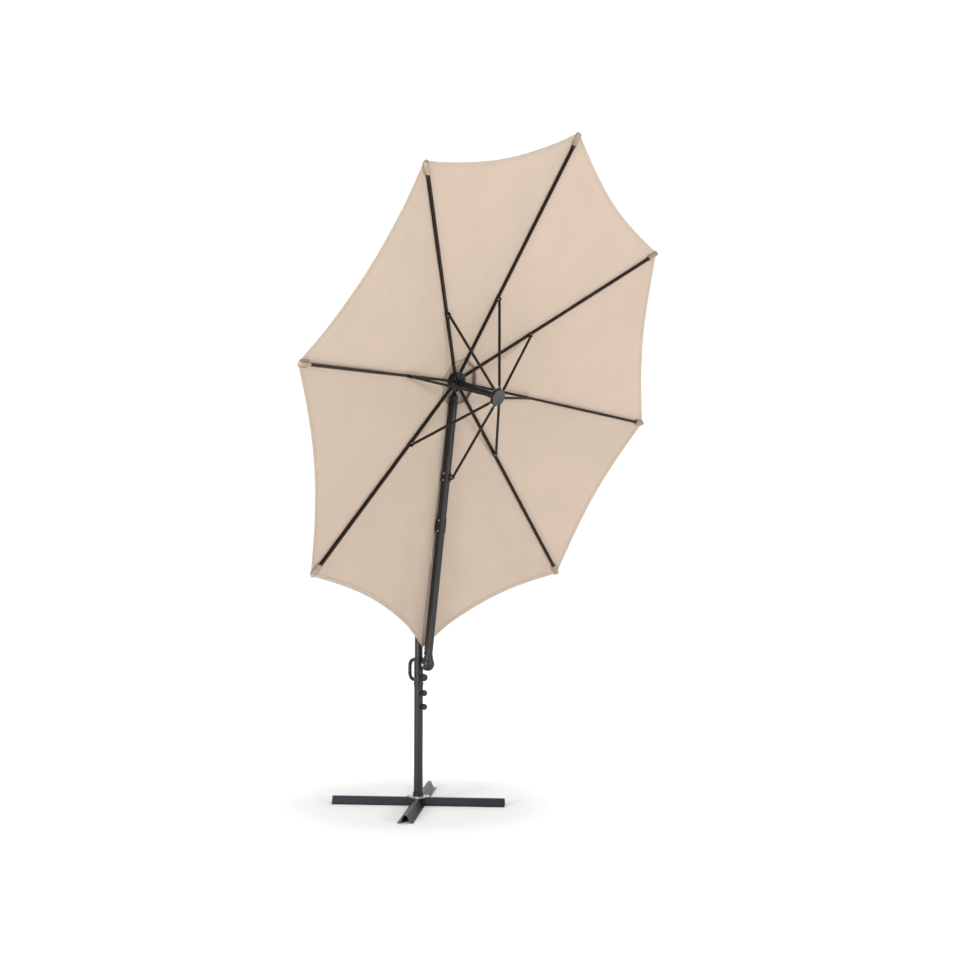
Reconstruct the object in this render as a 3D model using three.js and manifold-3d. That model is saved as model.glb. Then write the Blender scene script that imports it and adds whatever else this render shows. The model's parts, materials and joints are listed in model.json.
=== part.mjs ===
// Cantilever parasol: a cross base, a two-part mast, a slider that carries the tilting arm, and an
// eight-sided canopy that hangs on the arm's end, stored tilted upright, as for low sun.
// Millimetres, +Z up. The origin is the mast's axis on the ground, and the legs run along X and Y.
import * as THREE from 'three';
import { mergeVertices } from 'three/addons/utils/BufferGeometryUtils.js';
import Module from 'manifold-3d';

const wasm = await Module();
wasm.setup();

const rad = THREE.MathUtils.degToRad;
const GAP = 0.3;

// Base cross of two folded steel bars
const LEG_LENGTH = 967;
const LEG_WIDTH = 85;
const LEG_HEIGHT = 40;
const LEG_SHEET = 2;
const RIDGE_HALF = 8.6;
const WALL_FOOT = 27;
const TIE_HALF = 60;
const TIE_THICK = 3;
const FLANGE_DIAGONAL = 138;
const FLANGE_THICK = 5;
const COLLAR_HEIGHT = 22;
const BOLT_REACH = 52;
const BOLT_R = 4;

// Mast
const LOWER_R = 25;
const LOWER_WALL = 2.2;
const LOWER_TOP = 650;
const UPPER_R = 22.2;
const UPPER_WALL = 1.6;
const UPPER_FOOT = 400;
const MAST_PIN_Z = 2400;
const MAST_AZIMUTH = -34.61;
const PLUG_SEAT = MAST_PIN_Z - 32;
const COLLAR_TOP = 664;
const CLAMP_HEIGHTS = [616, 540];
const COLLAR_R = 26.5;
const CLAMP_HEAD_R = 17;
const HEAD_FOOT = 34;
const SCREW_R = 4;
const SCREW_HOLE_R = 4.6;

// Slider on the mast
const SLEEVE_R = 25.6;
const SLEEVE_FOOT = 664.5;
const SLEEVE_TOP = 812;
const SLIDER_KNOB_Z = 702;
const SLIDER_HEAD_R = 20;
const TONGUE_HALF = 7;
const TONGUE_R = 13;
const GRIP_R = 10.5;
const GRIP_REACH = 67;

// Arm: leans away from the mast and is the canopy's eighth rib
const PIVOT_X = 63.9;
const PIVOT_Z = 775.6;
const ARM_LEAN = 7.86;
const ARM_TO_HUB = 1586.3;
const ARM_WIDTH = 38;
const ARM_DEPTH = 48;
const ARM_WALL = 1.6;
const ARM_CORNER = 15;
const CASTING_TOP = 56;
const BELL_R = 37;
const PIVOT_PIN_R = 5;
const PIVOT_SLOT = TONGUE_R + 4;
const STAY_ALONG = 780;
const STAY_OFFSET = 75;
const STAY_HALF_GAP = 25.5;
const STAY_THICK = 5;
const STAY_END_R = 11;
const EAR_HALF = 9;
const PIN_R = 4;
const HEAD_R = PIN_R + 3;

// Canopy frame: the droop is measured from the plane of the hub's hinges
const RIB_COUNT = 8;
const ARM_RIB = 6;
const DROOP = 13.42;
const RIB_REACH = 1480;
const HUB_R = 54;
const HUB_HALF = 15;
const RIB_HINGE_R = 32;
const ARM_HINGE_R = 45;
const RIB_SLOT_HALF = 4.6;
const FORK_SLOT_HALF = 5.6;
const FORK_HALF = 11;
const RIB_WIDTH = 13;
const RIB_HEIGHT = 15;
const RIB_START = 29;
const RIB_WALL = 1.4;
const RIB_BRACKET = 487;
const STRUT_DROP = 16;
const ARM_BRACKET = 489;
const ARM_STRUT_DROP = 50;
const STRUT_WIDTH = 14;
const STRUT_HEIGHT = 10;
const STRUT_WALL = 1.2;
const STRUT_END_R = 50;
const RUNNER_Z = -305;
const RUNNER_R = 44;
const RUNNER_HEIGHT = 21;
const RUNNER_FOOT = RUNNER_Z - 12.5;
const CENTRE_TUBE_R = 17.5;

// Canopy cloth
const CLOTH = 1;
const CLOTH_LIFT = 12;
const ARM_LIFT_IN = 20;
const ARM_LIFT_OUT = 36;
const SCALLOP = 58;
const ARM_CORNER_REACH = 28;
const SAG = 14;
const VENT_R = 138;
const CAP_R = 215;
const CAP_TOP = 30;
const CAP_INNER_R = 12;
const CAP_CORNER = 5;
const CAP_LIFT = 24;
const CAP_CURVE = 1.3;
const HALF_PANEL = rad(22.5);

const paint = { color: 0x34353a, roughness: 0.45, metalness: 0.55 };
const basePaint = { color: 0x3a3d47, roughness: 0.4, metalness: 0.6 };
const plate = { color: 0x9a9da2, roughness: 0.3, metalness: 0.8 };
const steel = { color: 0xb9bbbe, roughness: 0.25, metalness: 0.95 };
const nylon = { color: 0x222325, roughness: 0.55, metalness: 0 };
const ribPaint = { color: 0x2c2724, roughness: 0.45, metalness: 0.5 };
const cloth = { color: 0xcfbdac, roughness: 0.95, metalness: 0 };

// ---- helpers -------------------------------------------------------------------------------

function part(name, geometry, look) {
  const mesh = new THREE.Mesh(geometry, new THREE.MeshStandardMaterial(look));
  mesh.name = name;
  return mesh;
}

function solid(geometry) {
  const g = geometry.clone();
  g.deleteAttribute('normal');
  g.deleteAttribute('uv');
  const merged = mergeVertices(g, 1e-3);
  const vertProperties = new Float32Array(merged.attributes.position.array);
  const triVerts = new Uint32Array(merged.index.array);
  return new wasm.Manifold(new wasm.Mesh({ numProp: 3, vertProperties, triVerts }));
}

function surface(made) {
  const mesh = made.getMesh();
  const g = new THREE.BufferGeometry();
  g.setAttribute('position', new THREE.BufferAttribute(mesh.vertProperties, 3));
  g.setIndex(new THREE.BufferAttribute(mesh.triVerts, 1));
  return g;
}

// The first geometry joined with the others in add, less those in cut.
function carve(first, { add = [], cut = [] }) {
  let made = solid(first);
  for (const g of add) made = made.add(solid(g));
  for (const g of cut) made = made.subtract(solid(g));
  return surface(made);
}

function box([x0, x1], [y0, y1], [z0, z1]) {
  const g = new THREE.BoxGeometry(x1 - x0, y1 - y0, z1 - z0);
  return g.translate((x0 + x1) / 2, (y0 + y1) / 2, (z0 + z1) / 2);
}

// A round bar along Z, from z0 to z1.
function rod(r, z0, z1, sides = 24) {
  const g = new THREE.CylinderGeometry(r, r, z1 - z0, sides);
  return g.rotateX(Math.PI / 2).translate(0, 0, (z0 + z1) / 2);
}

// A round bar along Y through (x, z), reaching the same way to both sides.
function crossRod(r, reach, x, z, sides = 16) {
  return rod(r, -reach, reach, sides).rotateX(Math.PI / 2).translate(x, 0, z);
}

// A turned piece on the Z axis from [radius, z] pairs, given from the bottom up on the outside.
function turned(profile, sides = 32) {
  const points = profile.map(([r, z]) => new THREE.Vector2(r, z));
  return new THREE.LatheGeometry(points, sides).rotateX(Math.PI / 2);
}

function pipe(outer, wall, z0, z1, sides = 32) {
  const inner = outer - wall;
  return turned([[inner, z0], [outer, z0], [outer, z1], [inner, z1], [inner, z0]], sides);
}

function outline(points) {
  return new THREE.Shape(points.map(([x, y]) => new THREE.Vector2(x, y)));
}

function roundedOutline(width, depth, corner) {
  const [w, h] = [width / 2, depth / 2];
  const s = new THREE.Shape();
  s.moveTo(-w + corner, -h);
  s.lineTo(w - corner, -h);
  s.absarc(w - corner, -h + corner, corner, -Math.PI / 2, 0, false);
  s.lineTo(w, h - corner);
  s.absarc(w - corner, h - corner, corner, 0, Math.PI / 2, false);
  s.lineTo(-w + corner, h);
  s.absarc(-w + corner, h - corner, corner, Math.PI / 2, Math.PI, false);
  s.lineTo(-w, -h + corner);
  s.absarc(-w + corner, -h + corner, corner, Math.PI, 1.5 * Math.PI, false);
  return s;
}

function extrude(shape, length, curveSegments = 4) {
  return new THREE.ExtrudeGeometry(shape, { depth: length, bevelEnabled: false, curveSegments });
}

// A flat link with round ends in the XZ plane, from its hole at (0, 0) along +X, centred on y.
function roundEndedBar(length, r, thick, y, holeR) {
  const s = new THREE.Shape();
  s.absarc(0, 0, r, Math.PI / 2, 1.5 * Math.PI, false);
  s.absarc(length, 0, r, -Math.PI / 2, Math.PI / 2, false);
  const hole = new THREE.Path();
  hole.absarc(0, 0, holeR, 0, 2 * Math.PI, true);
  s.holes.push(hole);
  return extrude(s, thick, 8).translate(0, 0, -thick / 2).rotateX(Math.PI / 2).translate(0, y, 0);
}

// ---- base ----------------------------------------------------------------------------------

// The folded section of a leg, run along Y from y0 to y1.
function hatBar(y0, y1) {
  const [w, h, t] = [LEG_WIDTH / 2, LEG_HEIGHT, LEG_SHEET];
  const half = [[w, 0], [w, t], [WALL_FOOT, t], [RIDGE_HALF, h]];
  const inner = [[RIDGE_HALF - t * 0.6, h - t], [WALL_FOOT - t * 0.6, 0]];
  const flip = (list) => list.map(([x, y]) => [-x, y]).reverse();
  const section = outline([...half, ...flip(half), ...flip(inner), ...inner]);
  return extrude(section, y1 - y0).rotateX(Math.PI / 2).translate(0, y1, 0);
}

function boltHoles(alongX) {
  const place = (s) => (alongX ? [s * BOLT_REACH, 0] : [0, s * BOLT_REACH]);
  return [-1, 1].map((s) => rod(BOLT_R + 0.5, 20, 80, 12).translate(...place(s), 0));
}

// The lower bar: its ridge is cut out at the crossing, where a tie plate joins its two halves.
function lowerBar() {
  const start = LEG_WIDTH / 2 + 2 * GAP;
  const tie = box([-LEG_WIDTH / 2, LEG_WIDTH / 2], [-TIE_HALF, TIE_HALF], [0, TIE_THICK]);
  const halves = [hatBar(start, LEG_LENGTH / 2), hatBar(-LEG_LENGTH / 2, -start)];
  return carve(tie, { add: halves, cut: boltHoles(false) });
}

// The upper bar: its feet are cut away where it crosses the tie plate.
function upperBar() {
  const bar = hatBar(-LEG_LENGTH / 2, LEG_LENGTH / 2).rotateZ(Math.PI / 2);
  const notch = LEG_WIDTH / 2 + 2 * GAP;
  const feet = box([-notch, notch], [-notch, notch], [-1, TIE_THICK + GAP]);
  return carve(bar, { cut: [feet, ...boltHoles(true)] });
}

function flange() {
  const side = FLANGE_DIAGONAL / Math.SQRT2;
  const low = LEG_HEIGHT + GAP;
  const top = low + FLANGE_THICK;
  const square = extrude(roundedOutline(side, side, 8), FLANGE_THICK).rotateZ(Math.PI / 4);
  const collar = pipe(LOWER_R + 5, 4.7, top - 1, top + COLLAR_HEIGHT);
  const holes = [...boltHoles(true), ...boltHoles(false)];
  return carve(square.translate(0, 0, low), { add: [collar], cut: holes });
}

function baseBolt() {
  const seat = LEG_HEIGHT + FLANGE_THICK + 2 * GAP;
  return carve(rod(BOLT_R, 28, seat + 1, 12), { add: [rod(7.5, seat, seat + 5.5, 6)] });
}

function buildBase() {
  const base = new THREE.Group();
  base.add(part('base_bar_lower', lowerBar(), basePaint));
  base.add(part('base_bar_upper', upperBar(), basePaint));
  base.add(part('base_flange', flange(), plate));
  for (let i = 0; i < 4; i += 1) {
    const bolt = part(`base_bolt_${i + 1}`, baseBolt(), steel);
    const turn = (i * Math.PI) / 2;
    bolt.position.set(BOLT_REACH * Math.cos(turn), BOLT_REACH * Math.sin(turn), 0);
    base.add(bolt);
  }
  return base;
}

// ---- mast: everything from here on is built with the arm's side at +X ------------------------

// The hole of a clamp screw at a height: from the axis out through the +X side.
function screwHole(z) {
  return rod(SCREW_HOLE_R, 0, 40, 12).rotateY(Math.PI / 2).translate(0, 0, z);
}

function lowerTube() {
  const foot = LEG_HEIGHT + FLANGE_THICK + 2 * GAP;
  const wall = pipe(LOWER_R, LOWER_WALL, foot, LOWER_TOP);
  return carve(wall, { cut: CLAMP_HEIGHTS.map(screwHole) });
}

// A clamp screw with a round head, its axis along +X from its tip at x = tip.
function clampKnob(tip, headR) {
  const foot = HEAD_FOOT;
  const profile = [[0, tip], [SCREW_R, tip], [SCREW_R, foot - 3], [9, foot - 2.5], [9, foot - 0.5],
    [headR - 1.5, foot + 0.5], [headR, foot + 2.5], [headR, foot + 16], [headR - 3, foot + 19.5],
    [0, foot + 20]];
  return turned(profile, 24).rotateY(Math.PI / 2);
}

// A plug in the mast's open end whose cross bore takes the stay's pin.
function mastTop() {
  const plug = UPPER_R - UPPER_WALL - GAP;
  const foot = PLUG_SEAT - 40;
  const top = MAST_PIN_Z + 34;
  const profile = [[0, foot], [plug, foot], [plug, PLUG_SEAT + GAP], [24, PLUG_SEAT + GAP],
    [24, top - 14], [19, top - 5], [10, top - 1], [0, top]];
  return carve(turned(profile), { cut: [crossRod(PIN_R + GAP, 40, 0, MAST_PIN_Z)] });
}

// A pin along Y with a head at each end, just past reach.
function headedPin(r, reach, x, z) {
  const heads = [-1, 1].map((s) => crossRod(r + 3, 1.5, x, z).translate(0, s * (reach + 1.5), 0));
  return carve(crossRod(r, reach + 1, x, z), { add: heads });
}

function buildMast() {
  const mast = new THREE.Group();
  mast.add(part('mast_lower_tube', lowerTube(), paint));
  mast.add(part('mast_collar', pipe(COLLAR_R, COLLAR_R - UPPER_R - 0.4, LOWER_TOP + GAP, COLLAR_TOP), nylon));
  mast.add(part('mast_upper_tube', pipe(UPPER_R, UPPER_WALL, UPPER_FOOT, PLUG_SEAT), paint));
  mast.add(part('mast_top_plug', mastTop(), nylon));
  const reach = STAY_HALF_GAP + STAY_THICK + GAP;
  mast.add(part('stay_pin_mast', headedPin(PIN_R, reach, 0, MAST_PIN_Z), steel));
  CLAMP_HEIGHTS.forEach((z, i) => {
    const knob = part(`clamp_knob_${i + 1}`, clampKnob(UPPER_R + GAP, CLAMP_HEAD_R), nylon);
    knob.position.z = z;
    mast.add(knob);
  });
  return mast;
}

// ---- slider --------------------------------------------------------------------------------

function sleeve() {
  const body = pipe(SLEEVE_R, SLEEVE_R - UPPER_R - 0.6, SLEEVE_FOOT, SLEEVE_TOP);
  const root = SLEEVE_R - 2;
  const lug = outline([[root, -22], [PIVOT_X, -TONGUE_R], [PIVOT_X, TONGUE_R], [root, 17]]);
  const tongue = extrude(lug, 2 * TONGUE_HALF).translate(0, 0, -TONGUE_HALF).rotateX(Math.PI / 2);
  const nose = crossRod(TONGUE_R, TONGUE_HALF, PIVOT_X, PIVOT_Z, 24);
  const boss = rod(10, root, HEAD_FOOT - 4, 20).rotateY(Math.PI / 2).translate(0, 0, SLIDER_KNOB_Z);
  const pinHole = crossRod(PIVOT_PIN_R + GAP, 20, PIVOT_X, PIVOT_Z);
  const add = [tongue.translate(0, 0, PIVOT_Z), nose, boss];
  return carve(body, { add, cut: [screwHole(SLIDER_KNOB_Z), pinHole] });
}

// The D-shaped hand grip on the side away from the arm.
function grip() {
  const near = -SLEEVE_R - 1;
  const far = -GRIP_REACH;
  const [top, low] = [SLEEVE_TOP - 14, SLEEVE_FOOT + 22];
  const path = new THREE.CurvePath();
  const at = (x, z) => new THREE.Vector3(x, 0, z);
  path.add(new THREE.QuadraticBezierCurve3(at(near, top), at(far + 4, top + 2), at(far, top - 34)));
  path.add(new THREE.LineCurve3(at(far, top - 34), at(far, low + 34)));
  path.add(new THREE.QuadraticBezierCurve3(at(far, low + 34), at(far + 4, low - 2), at(near, low)));
  const section = new THREE.Shape();
  section.absarc(0, 0, GRIP_R, 0, 2 * Math.PI, false);
  return new THREE.ExtrudeGeometry(section, { steps: 24, extrudePath: path, curveSegments: 6 });
}

function buildSlider() {
  const slider = new THREE.Group();
  slider.add(part('slider_sleeve', sleeve(), nylon));
  slider.add(part('slider_grip', grip(), nylon));
  const knob = part('slider_knob', clampKnob(UPPER_R + GAP, SLIDER_HEAD_R), nylon);
  knob.position.z = SLIDER_KNOB_Z;
  slider.add(knob);
  return slider;
}

// ---- arm: built along +Z from its pivot, with the canopy's underside at +X --------------------

const armHingeFromCentre = Math.hypot(
  ARM_TO_HUB * Math.cos(rad(DROOP)) - ARM_HINGE_R,
  ARM_TO_HUB * Math.sin(rad(DROOP)),
);
const armDroop = Math.atan2(
  ARM_TO_HUB * Math.sin(rad(DROOP)),
  ARM_TO_HUB * Math.cos(rad(DROOP)) - ARM_HINGE_R,
);
const ARM_TUBE_END = armHingeFromCentre - 44;
const armLean = rad(ARM_LEAN) - (armDroop - rad(DROOP));

function armTube() {
  const shape = roundedOutline(ARM_DEPTH, ARM_WIDTH, ARM_CORNER);
  const [w, h] = [ARM_DEPTH - 2 * ARM_WALL, ARM_WIDTH - 2 * ARM_WALL];
  const inner = roundedOutline(w, h, ARM_CORNER - ARM_WALL);
  shape.holes.push(new THREE.Path(inner.getPoints(6)));
  const length = ARM_TUBE_END - CASTING_TOP - GAP;
  return extrude(shape, length, 6).translate(0, 0, CASTING_TOP + GAP);
}

// The plug that a fitting has inside the arm's tube.
function spigot(z0, z1) {
  const slack = 2 * (ARM_WALL + GAP);
  const section = roundedOutline(ARM_DEPTH - slack, ARM_WIDTH - slack, ARM_CORNER - 2);
  return extrude(section, z1 - z0, 3).translate(0, 0, z0);
}

// The bell-shaped foot of the arm, slotted for the slider's tongue.
function armCasting() {
  const profile = [[0, -34], [16, -32], [28, -24], [35, -11], [BELL_R, 2], [BELL_R - 2, 14], [30, 27],
    [25.5, 41], [23, CASTING_TOP], [0, CASTING_TOP]];
  const bell = turned(profile, 28).translate(5, 0, 0);
  const slot = box([-60, PIVOT_SLOT], [-TONGUE_HALF - 0.6, TONGUE_HALF + 0.6], [-60, 22]);
  const bore = crossRod(PIVOT_PIN_R + GAP, 60, 0, 0);
  return carve(bell, { add: [spigot(CASTING_TOP - 1, CASTING_TOP + 60)], cut: [slot, bore] });
}

// A saddle round the arm at a height, with ears for a pin.
function saddle(z, length, ears, bore) {
  const outer = roundedOutline(ARM_DEPTH + 6, ARM_WIDTH + 6, ARM_CORNER + 2);
  const inner = roundedOutline(ARM_DEPTH + 2 * GAP, ARM_WIDTH + 2 * GAP, ARM_CORNER);
  outer.holes.push(new THREE.Path(inner.getPoints(6)));
  const band = extrude(outer, length, 6).translate(0, 0, z - length / 2);
  return carve(band, { add: ears, cut: [bore] });
}

function strutBracket() {
  const z = armHingeFromCentre - ARM_BRACKET;
  const x = ARM_STRUT_DROP;
  const root = ARM_DEPTH / 2 + 2;
  const thick = 3;
  const cheek = (y) => {
    const shape = outline([[root, -20], [x, -7], [x, 7], [root, 20]]);
    const flat = extrude(shape, thick).rotateX(Math.PI / 2).translate(0, y + thick, z);
    return [flat, crossRod(7, thick / 2, x, z).translate(0, y + thick / 2, 0)];
  };
  const inside = STRUT_WIDTH / 2 + 2 * GAP;
  const ears = [...cheek(inside), ...cheek(-inside - thick)];
  return saddle(z, 56, ears, crossRod(2.5, 30, x, z, 12));
}

function stayBracket() {
  const root = -ARM_DEPTH / 2 - 2;
  const ear = outline([[root, -34], [root, 34], [-STAY_OFFSET, 9], [-STAY_OFFSET, -9]]);
  const web = extrude(ear, 2 * EAR_HALF).rotateX(Math.PI / 2).translate(0, EAR_HALF, STAY_ALONG);
  const nose = crossRod(9, EAR_HALF, -STAY_OFFSET, STAY_ALONG);
  const bore = crossRod(PIN_R + GAP, 40, -STAY_OFFSET, STAY_ALONG);
  return saddle(STAY_ALONG, 84, [web, nose], bore);
}

// The pin in the bracket's ear, with a spacer bush on each side that reaches almost to the links.
function stayPin() {
  const reach = STAY_HALF_GAP - GAP;
  const bush = (reach - EAR_HALF - GAP) / 2;
  const at = [-STAY_OFFSET, STAY_ALONG];
  const bushes = [-1, 1].map((s) => crossRod(HEAD_R, bush, ...at).translate(0, s * (reach - bush), 0));
  return carve(crossRod(PIN_R, reach, ...at), { add: bushes });
}

// The fitting in the arm's upper end: a tongue that the hub's ears take by a pin.
function armHead() {
  const z = armHingeFromCentre;
  const low = ARM_TUBE_END + GAP;
  const wide = ARM_DEPTH / 2 - 2;
  const right = [[wide, low], [wide, low + 8], [8, z - 12], [8, z]];
  const left = right.map(([x, y]) => [-x, y]).reverse();
  const tongue = extrude(outline([...right, ...left]), 10).rotateX(Math.PI / 2).translate(0, 5, 0);
  const collar = extrude(roundedOutline(ARM_DEPTH, ARM_WIDTH, ARM_CORNER), 6, 4).translate(0, 0, low);
  const add = [collar, crossRod(8, 5, 0, z), spigot(ARM_TUBE_END - 50, ARM_TUBE_END + 1)];
  return carve(tongue, { add, cut: [crossRod(PIN_R + GAP, 20, 0, z)] });
}

function buildArm() {
  const arm = new THREE.Group();
  arm.add(part('arm_casting', armCasting(), nylon));
  arm.add(part('arm_pivot_pin', headedPin(PIVOT_PIN_R, BELL_R + 1, 0, 0), steel));
  arm.add(part('arm_tube', armTube(), paint));
  arm.add(part('arm_strut_bracket', strutBracket(), nylon));
  arm.add(part('arm_stay_bracket', stayBracket(), nylon));
  arm.add(part('arm_head', armHead(), nylon));
  arm.add(part('stay_pin_arm', stayPin(), steel));
  const pinReach = FORK_HALF + 1.6;
  arm.add(part('hub_hinge_pin', headedPin(PIN_R, pinReach, 0, armHingeFromCentre), steel));
  arm.position.set(PIVOT_X, 0, PIVOT_Z);
  arm.rotation.y = armLean;
  return arm;
}

// ---- stay: two flat links from the mast's top to the arm --------------------------------------

// A link whose arm end has a rivet head on its outer side in place of a hole: its pin is the arm's own.
function stayLink(length, side) {
  const y = side * (STAY_HALF_GAP + STAY_THICK / 2);
  const bar = roundEndedBar(length, STAY_END_R, STAY_THICK, y, PIN_R + GAP);
  const head = crossRod(HEAD_R, 1.5, length, 0).translate(0, y + side * (STAY_THICK / 2 + 1), 0);
  return carve(bar, { add: [head] });
}

function buildStay() {
  const x = PIVOT_X + STAY_ALONG * Math.sin(armLean) - STAY_OFFSET * Math.cos(armLean);
  const z = PIVOT_Z + STAY_ALONG * Math.cos(armLean) + STAY_OFFSET * Math.sin(armLean);
  const length = Math.hypot(x, MAST_PIN_Z - z);
  const stay = new THREE.Group();
  stay.add(part('stay_link_left', stayLink(length, 1), paint));
  stay.add(part('stay_link_right', stayLink(length, -1), paint));
  stay.position.z = MAST_PIN_Z;
  stay.rotation.y = Math.atan2(MAST_PIN_Z - z, x);
  return stay;
}

// ---- canopy frame: built with its axis along Z, the top up and rib 6 at +X ---------------------

const ribLength = Math.hypot(
  RIB_REACH * Math.cos(rad(DROOP)) - RIB_HINGE_R,
  RIB_REACH * Math.sin(rad(DROOP)),
);
const ribDroop = Math.atan2(
  RIB_REACH * Math.sin(rad(DROOP)),
  RIB_REACH * Math.cos(rad(DROOP)) - RIB_HINGE_R,
);
const ribAngle = (i) => ((i - ARM_RIB) * 2 * Math.PI) / RIB_COUNT;
const thinRibs = [1, 2, 3, 4, 5, 7, 8];

// A slotted disc, and at its edge the fork that takes the arm's head.
function hub() {
  const slot = (half, top) => box([22, 80], [-half, half], [-30, top]);
  const ribSlots = thinRibs.map((i) => slot(RIB_SLOT_HALF, 8).rotateZ(ribAngle(i)));
  const socket = rod(CENTRE_TUBE_R + 1, -30, -4);
  const headRoom = crossRod(HEAD_R + 1.5, 30, ARM_HINGE_R, 0);
  const disc = rod(HUB_R, -HUB_HALF, HUB_HALF, 40);
  const ring = carve(disc, { cut: [...ribSlots, slot(FORK_SLOT_HALF, 9.5), socket, headRoom] });
  const ears = box([30, ARM_HINGE_R], [-FORK_HALF, FORK_HALF], [-FORK_HALF, FORK_HALF]);
  const nose = crossRod(FORK_HALF, FORK_HALF, ARM_HINGE_R, 0, 20);
  const bore = crossRod(PIN_R + GAP, 30, ARM_HINGE_R, 0);
  const fork = carve(ears, { add: [nose], cut: [slot(FORK_SLOT_HALF, 30), bore] });
  return carve(ring, { add: [fork], cut: [bore] });
}

// The finial that clamps the vent cap to the hub.
function hubCap() {
  const low = HUB_HALF + GAP;
  return turned([[0, low], [6, low], [6, CAP_TOP + 2.5], [34, CAP_TOP + 1.5], [34, CAP_TOP + 5],
    [26, CAP_TOP + 12], [12, CAP_TOP + 17], [0, CAP_TOP + 19]], 32);
}

// A rectangular tube along +X.
function rectPipe(width, height, wall, x0, x1) {
  const rectangle = (h, w) => [[-h, -w], [h, -w], [h, w], [-h, w]];
  const s = outline(rectangle(height / 2, width / 2));
  const inner = outline(rectangle(height / 2 - wall, width / 2 - wall)).getPoints().reverse();
  s.holes.push(new THREE.Path(inner));
  return extrude(s, x1 - x0).rotateY(Math.PI / 2).translate(x0, 0, 0);
}

// A thin rib along +X from its hinge, with a flat tongue that works in the hub's slot.
function rib() {
  const channel = rectPipe(RIB_WIDTH, RIB_HEIGHT, RIB_WALL, RIB_START, ribLength - 8);
  const tongue = box([-5, RIB_START + 12], [-4, 4], [-5, 5]);
  const [w, h] = [RIB_WIDTH / 2 - 1, RIB_HEIGHT / 2 - 1];
  const plug = box([RIB_START, RIB_START + 12], [-w, w], [-h, h]);
  return carve(channel, { add: [tongue, plug] });
}

// A strut from its outer pivot to its inner end, both [radius, z] in the plane of its rib.
function strut([r0, z0], [r1, z1]) {
  const length = Math.hypot(r1 - r0, z1 - z0);
  const bar = rectPipe(STRUT_WIDTH, STRUT_HEIGHT, STRUT_WALL, -4, length + 2.5);
  return bar.rotateY(Math.atan2(z0 - z1, r1 - r0)).translate(r0, 0, z0);
}

function strutPivot(i) {
  const arm = i === ARM_RIB;
  const droop = arm ? armDroop : ribDroop;
  const [along, drop, start] = arm
    ? [ARM_BRACKET, ARM_STRUT_DROP, ARM_HINGE_R]
    : [RIB_BRACKET, STRUT_DROP, RIB_HINGE_R];
  const r = start + along * Math.cos(droop) - drop * Math.sin(droop);
  return [r, -along * Math.sin(droop) - drop * Math.cos(droop)];
}

// The runner: a ring whose rim has a slot for each strut.
function runnerRing() {
  const s = new THREE.Shape();
  const [rim, floor] = [RUNNER_R - 0.5, RUNNER_R - 6];
  const lug = [[floor - 1, -0.36], [rim, -0.24], [rim, -0.06], [floor, -0.04]];
  const lugs = [...lug, ...lug.map(([r, t]) => [r, -t]).reverse()];
  for (let i = 0; i < RIB_COUNT; i += 1) {
    lugs.forEach(([r, t], k) => {
      const turn = i * 2 * HALF_PANEL + t;
      const point = [r * Math.cos(turn), r * Math.sin(turn)];
      if (i === 0 && k === 0) s.moveTo(...point);
      else s.lineTo(...point);
    });
  }
  return extrude(s, RUNNER_HEIGHT).translate(0, 0, RUNNER_FOOT);
}

function runnerCap() {
  const top = RUNNER_FOOT - GAP;
  const profile = [[0, top - 8], [RUNNER_R - 6, top - 8], [RUNNER_R - 1.5, top - 6.5], [RUNNER_R, top - 4],
    [RUNNER_R, top], [0, top]];
  return turned(profile, 40);
}

function buildCanopyFrame() {
  const frame = new THREE.Group();
  frame.add(part('canopy_hub', hub(), nylon));
  frame.add(part('hub_cap', hubCap(), nylon));
  for (const i of thinRibs) {
    const piece = part(`rib_${i}`, rib().rotateY(ribDroop).translate(RIB_HINGE_R, 0, 0), ribPaint);
    piece.rotation.z = ribAngle(i);
    frame.add(piece);
  }
  for (let i = 1; i <= RIB_COUNT; i += 1) {
    const piece = part(`strut_${i}`, strut(strutPivot(i), [STRUT_END_R, RUNNER_Z]), ribPaint);
    piece.rotation.z = ribAngle(i);
    frame.add(piece);
  }
  const tube = pipe(CENTRE_TUBE_R, 2, RUNNER_FOOT + RUNNER_HEIGHT + GAP, -HUB_HALF + 9);
  frame.add(part('centre_tube', tube, paint));
  frame.add(part('runner_ring', runnerRing(), nylon));
  frame.add(part('runner_cap', runnerCap(), nylon));
  return frame;
}

// ---- canopy cloth --------------------------------------------------------------------------

// Height of the cloth over rib i, at a distance r from the canopy's axis.
function ridge(i, r) {
  const line = CLOTH_LIFT - (r - RIB_HINGE_R) * Math.tan(ribDroop);
  if ((i + RIB_COUNT) % RIB_COUNT !== ARM_RIB % RIB_COUNT) return line;
  return line + THREE.MathUtils.lerp(ARM_LIFT_IN, ARM_LIFT_OUT, r / RIB_REACH);
}

// A straight side of the octagon, as a distance from the axis, at an angle off the nearest rib.
const chord = (r, off) => (r * Math.cos(HALF_PANEL)) / Math.cos(HALF_PANEL - Math.abs(off));

// Height of the cloth at (r, off) in rib i's section: flat between two ribs, less a small sag.
function clothHeight(i, r, off) {
  const across = 0.5 * (1 - Math.tan(HALF_PANEL - Math.abs(off)) / Math.tan(HALF_PANEL));
  const reach = (r * Math.cos(HALF_PANEL - Math.abs(off))) / Math.cos(HALF_PANEL);
  const flat = THREE.MathUtils.lerp(ridge(i, reach), ridge(i + Math.sign(off), reach), across);
  const along = Math.sin(Math.PI * Math.min(1, r / RIB_REACH) ** 0.8);
  return flat - SAG * along * Math.sin(Math.PI * across);
}

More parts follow.
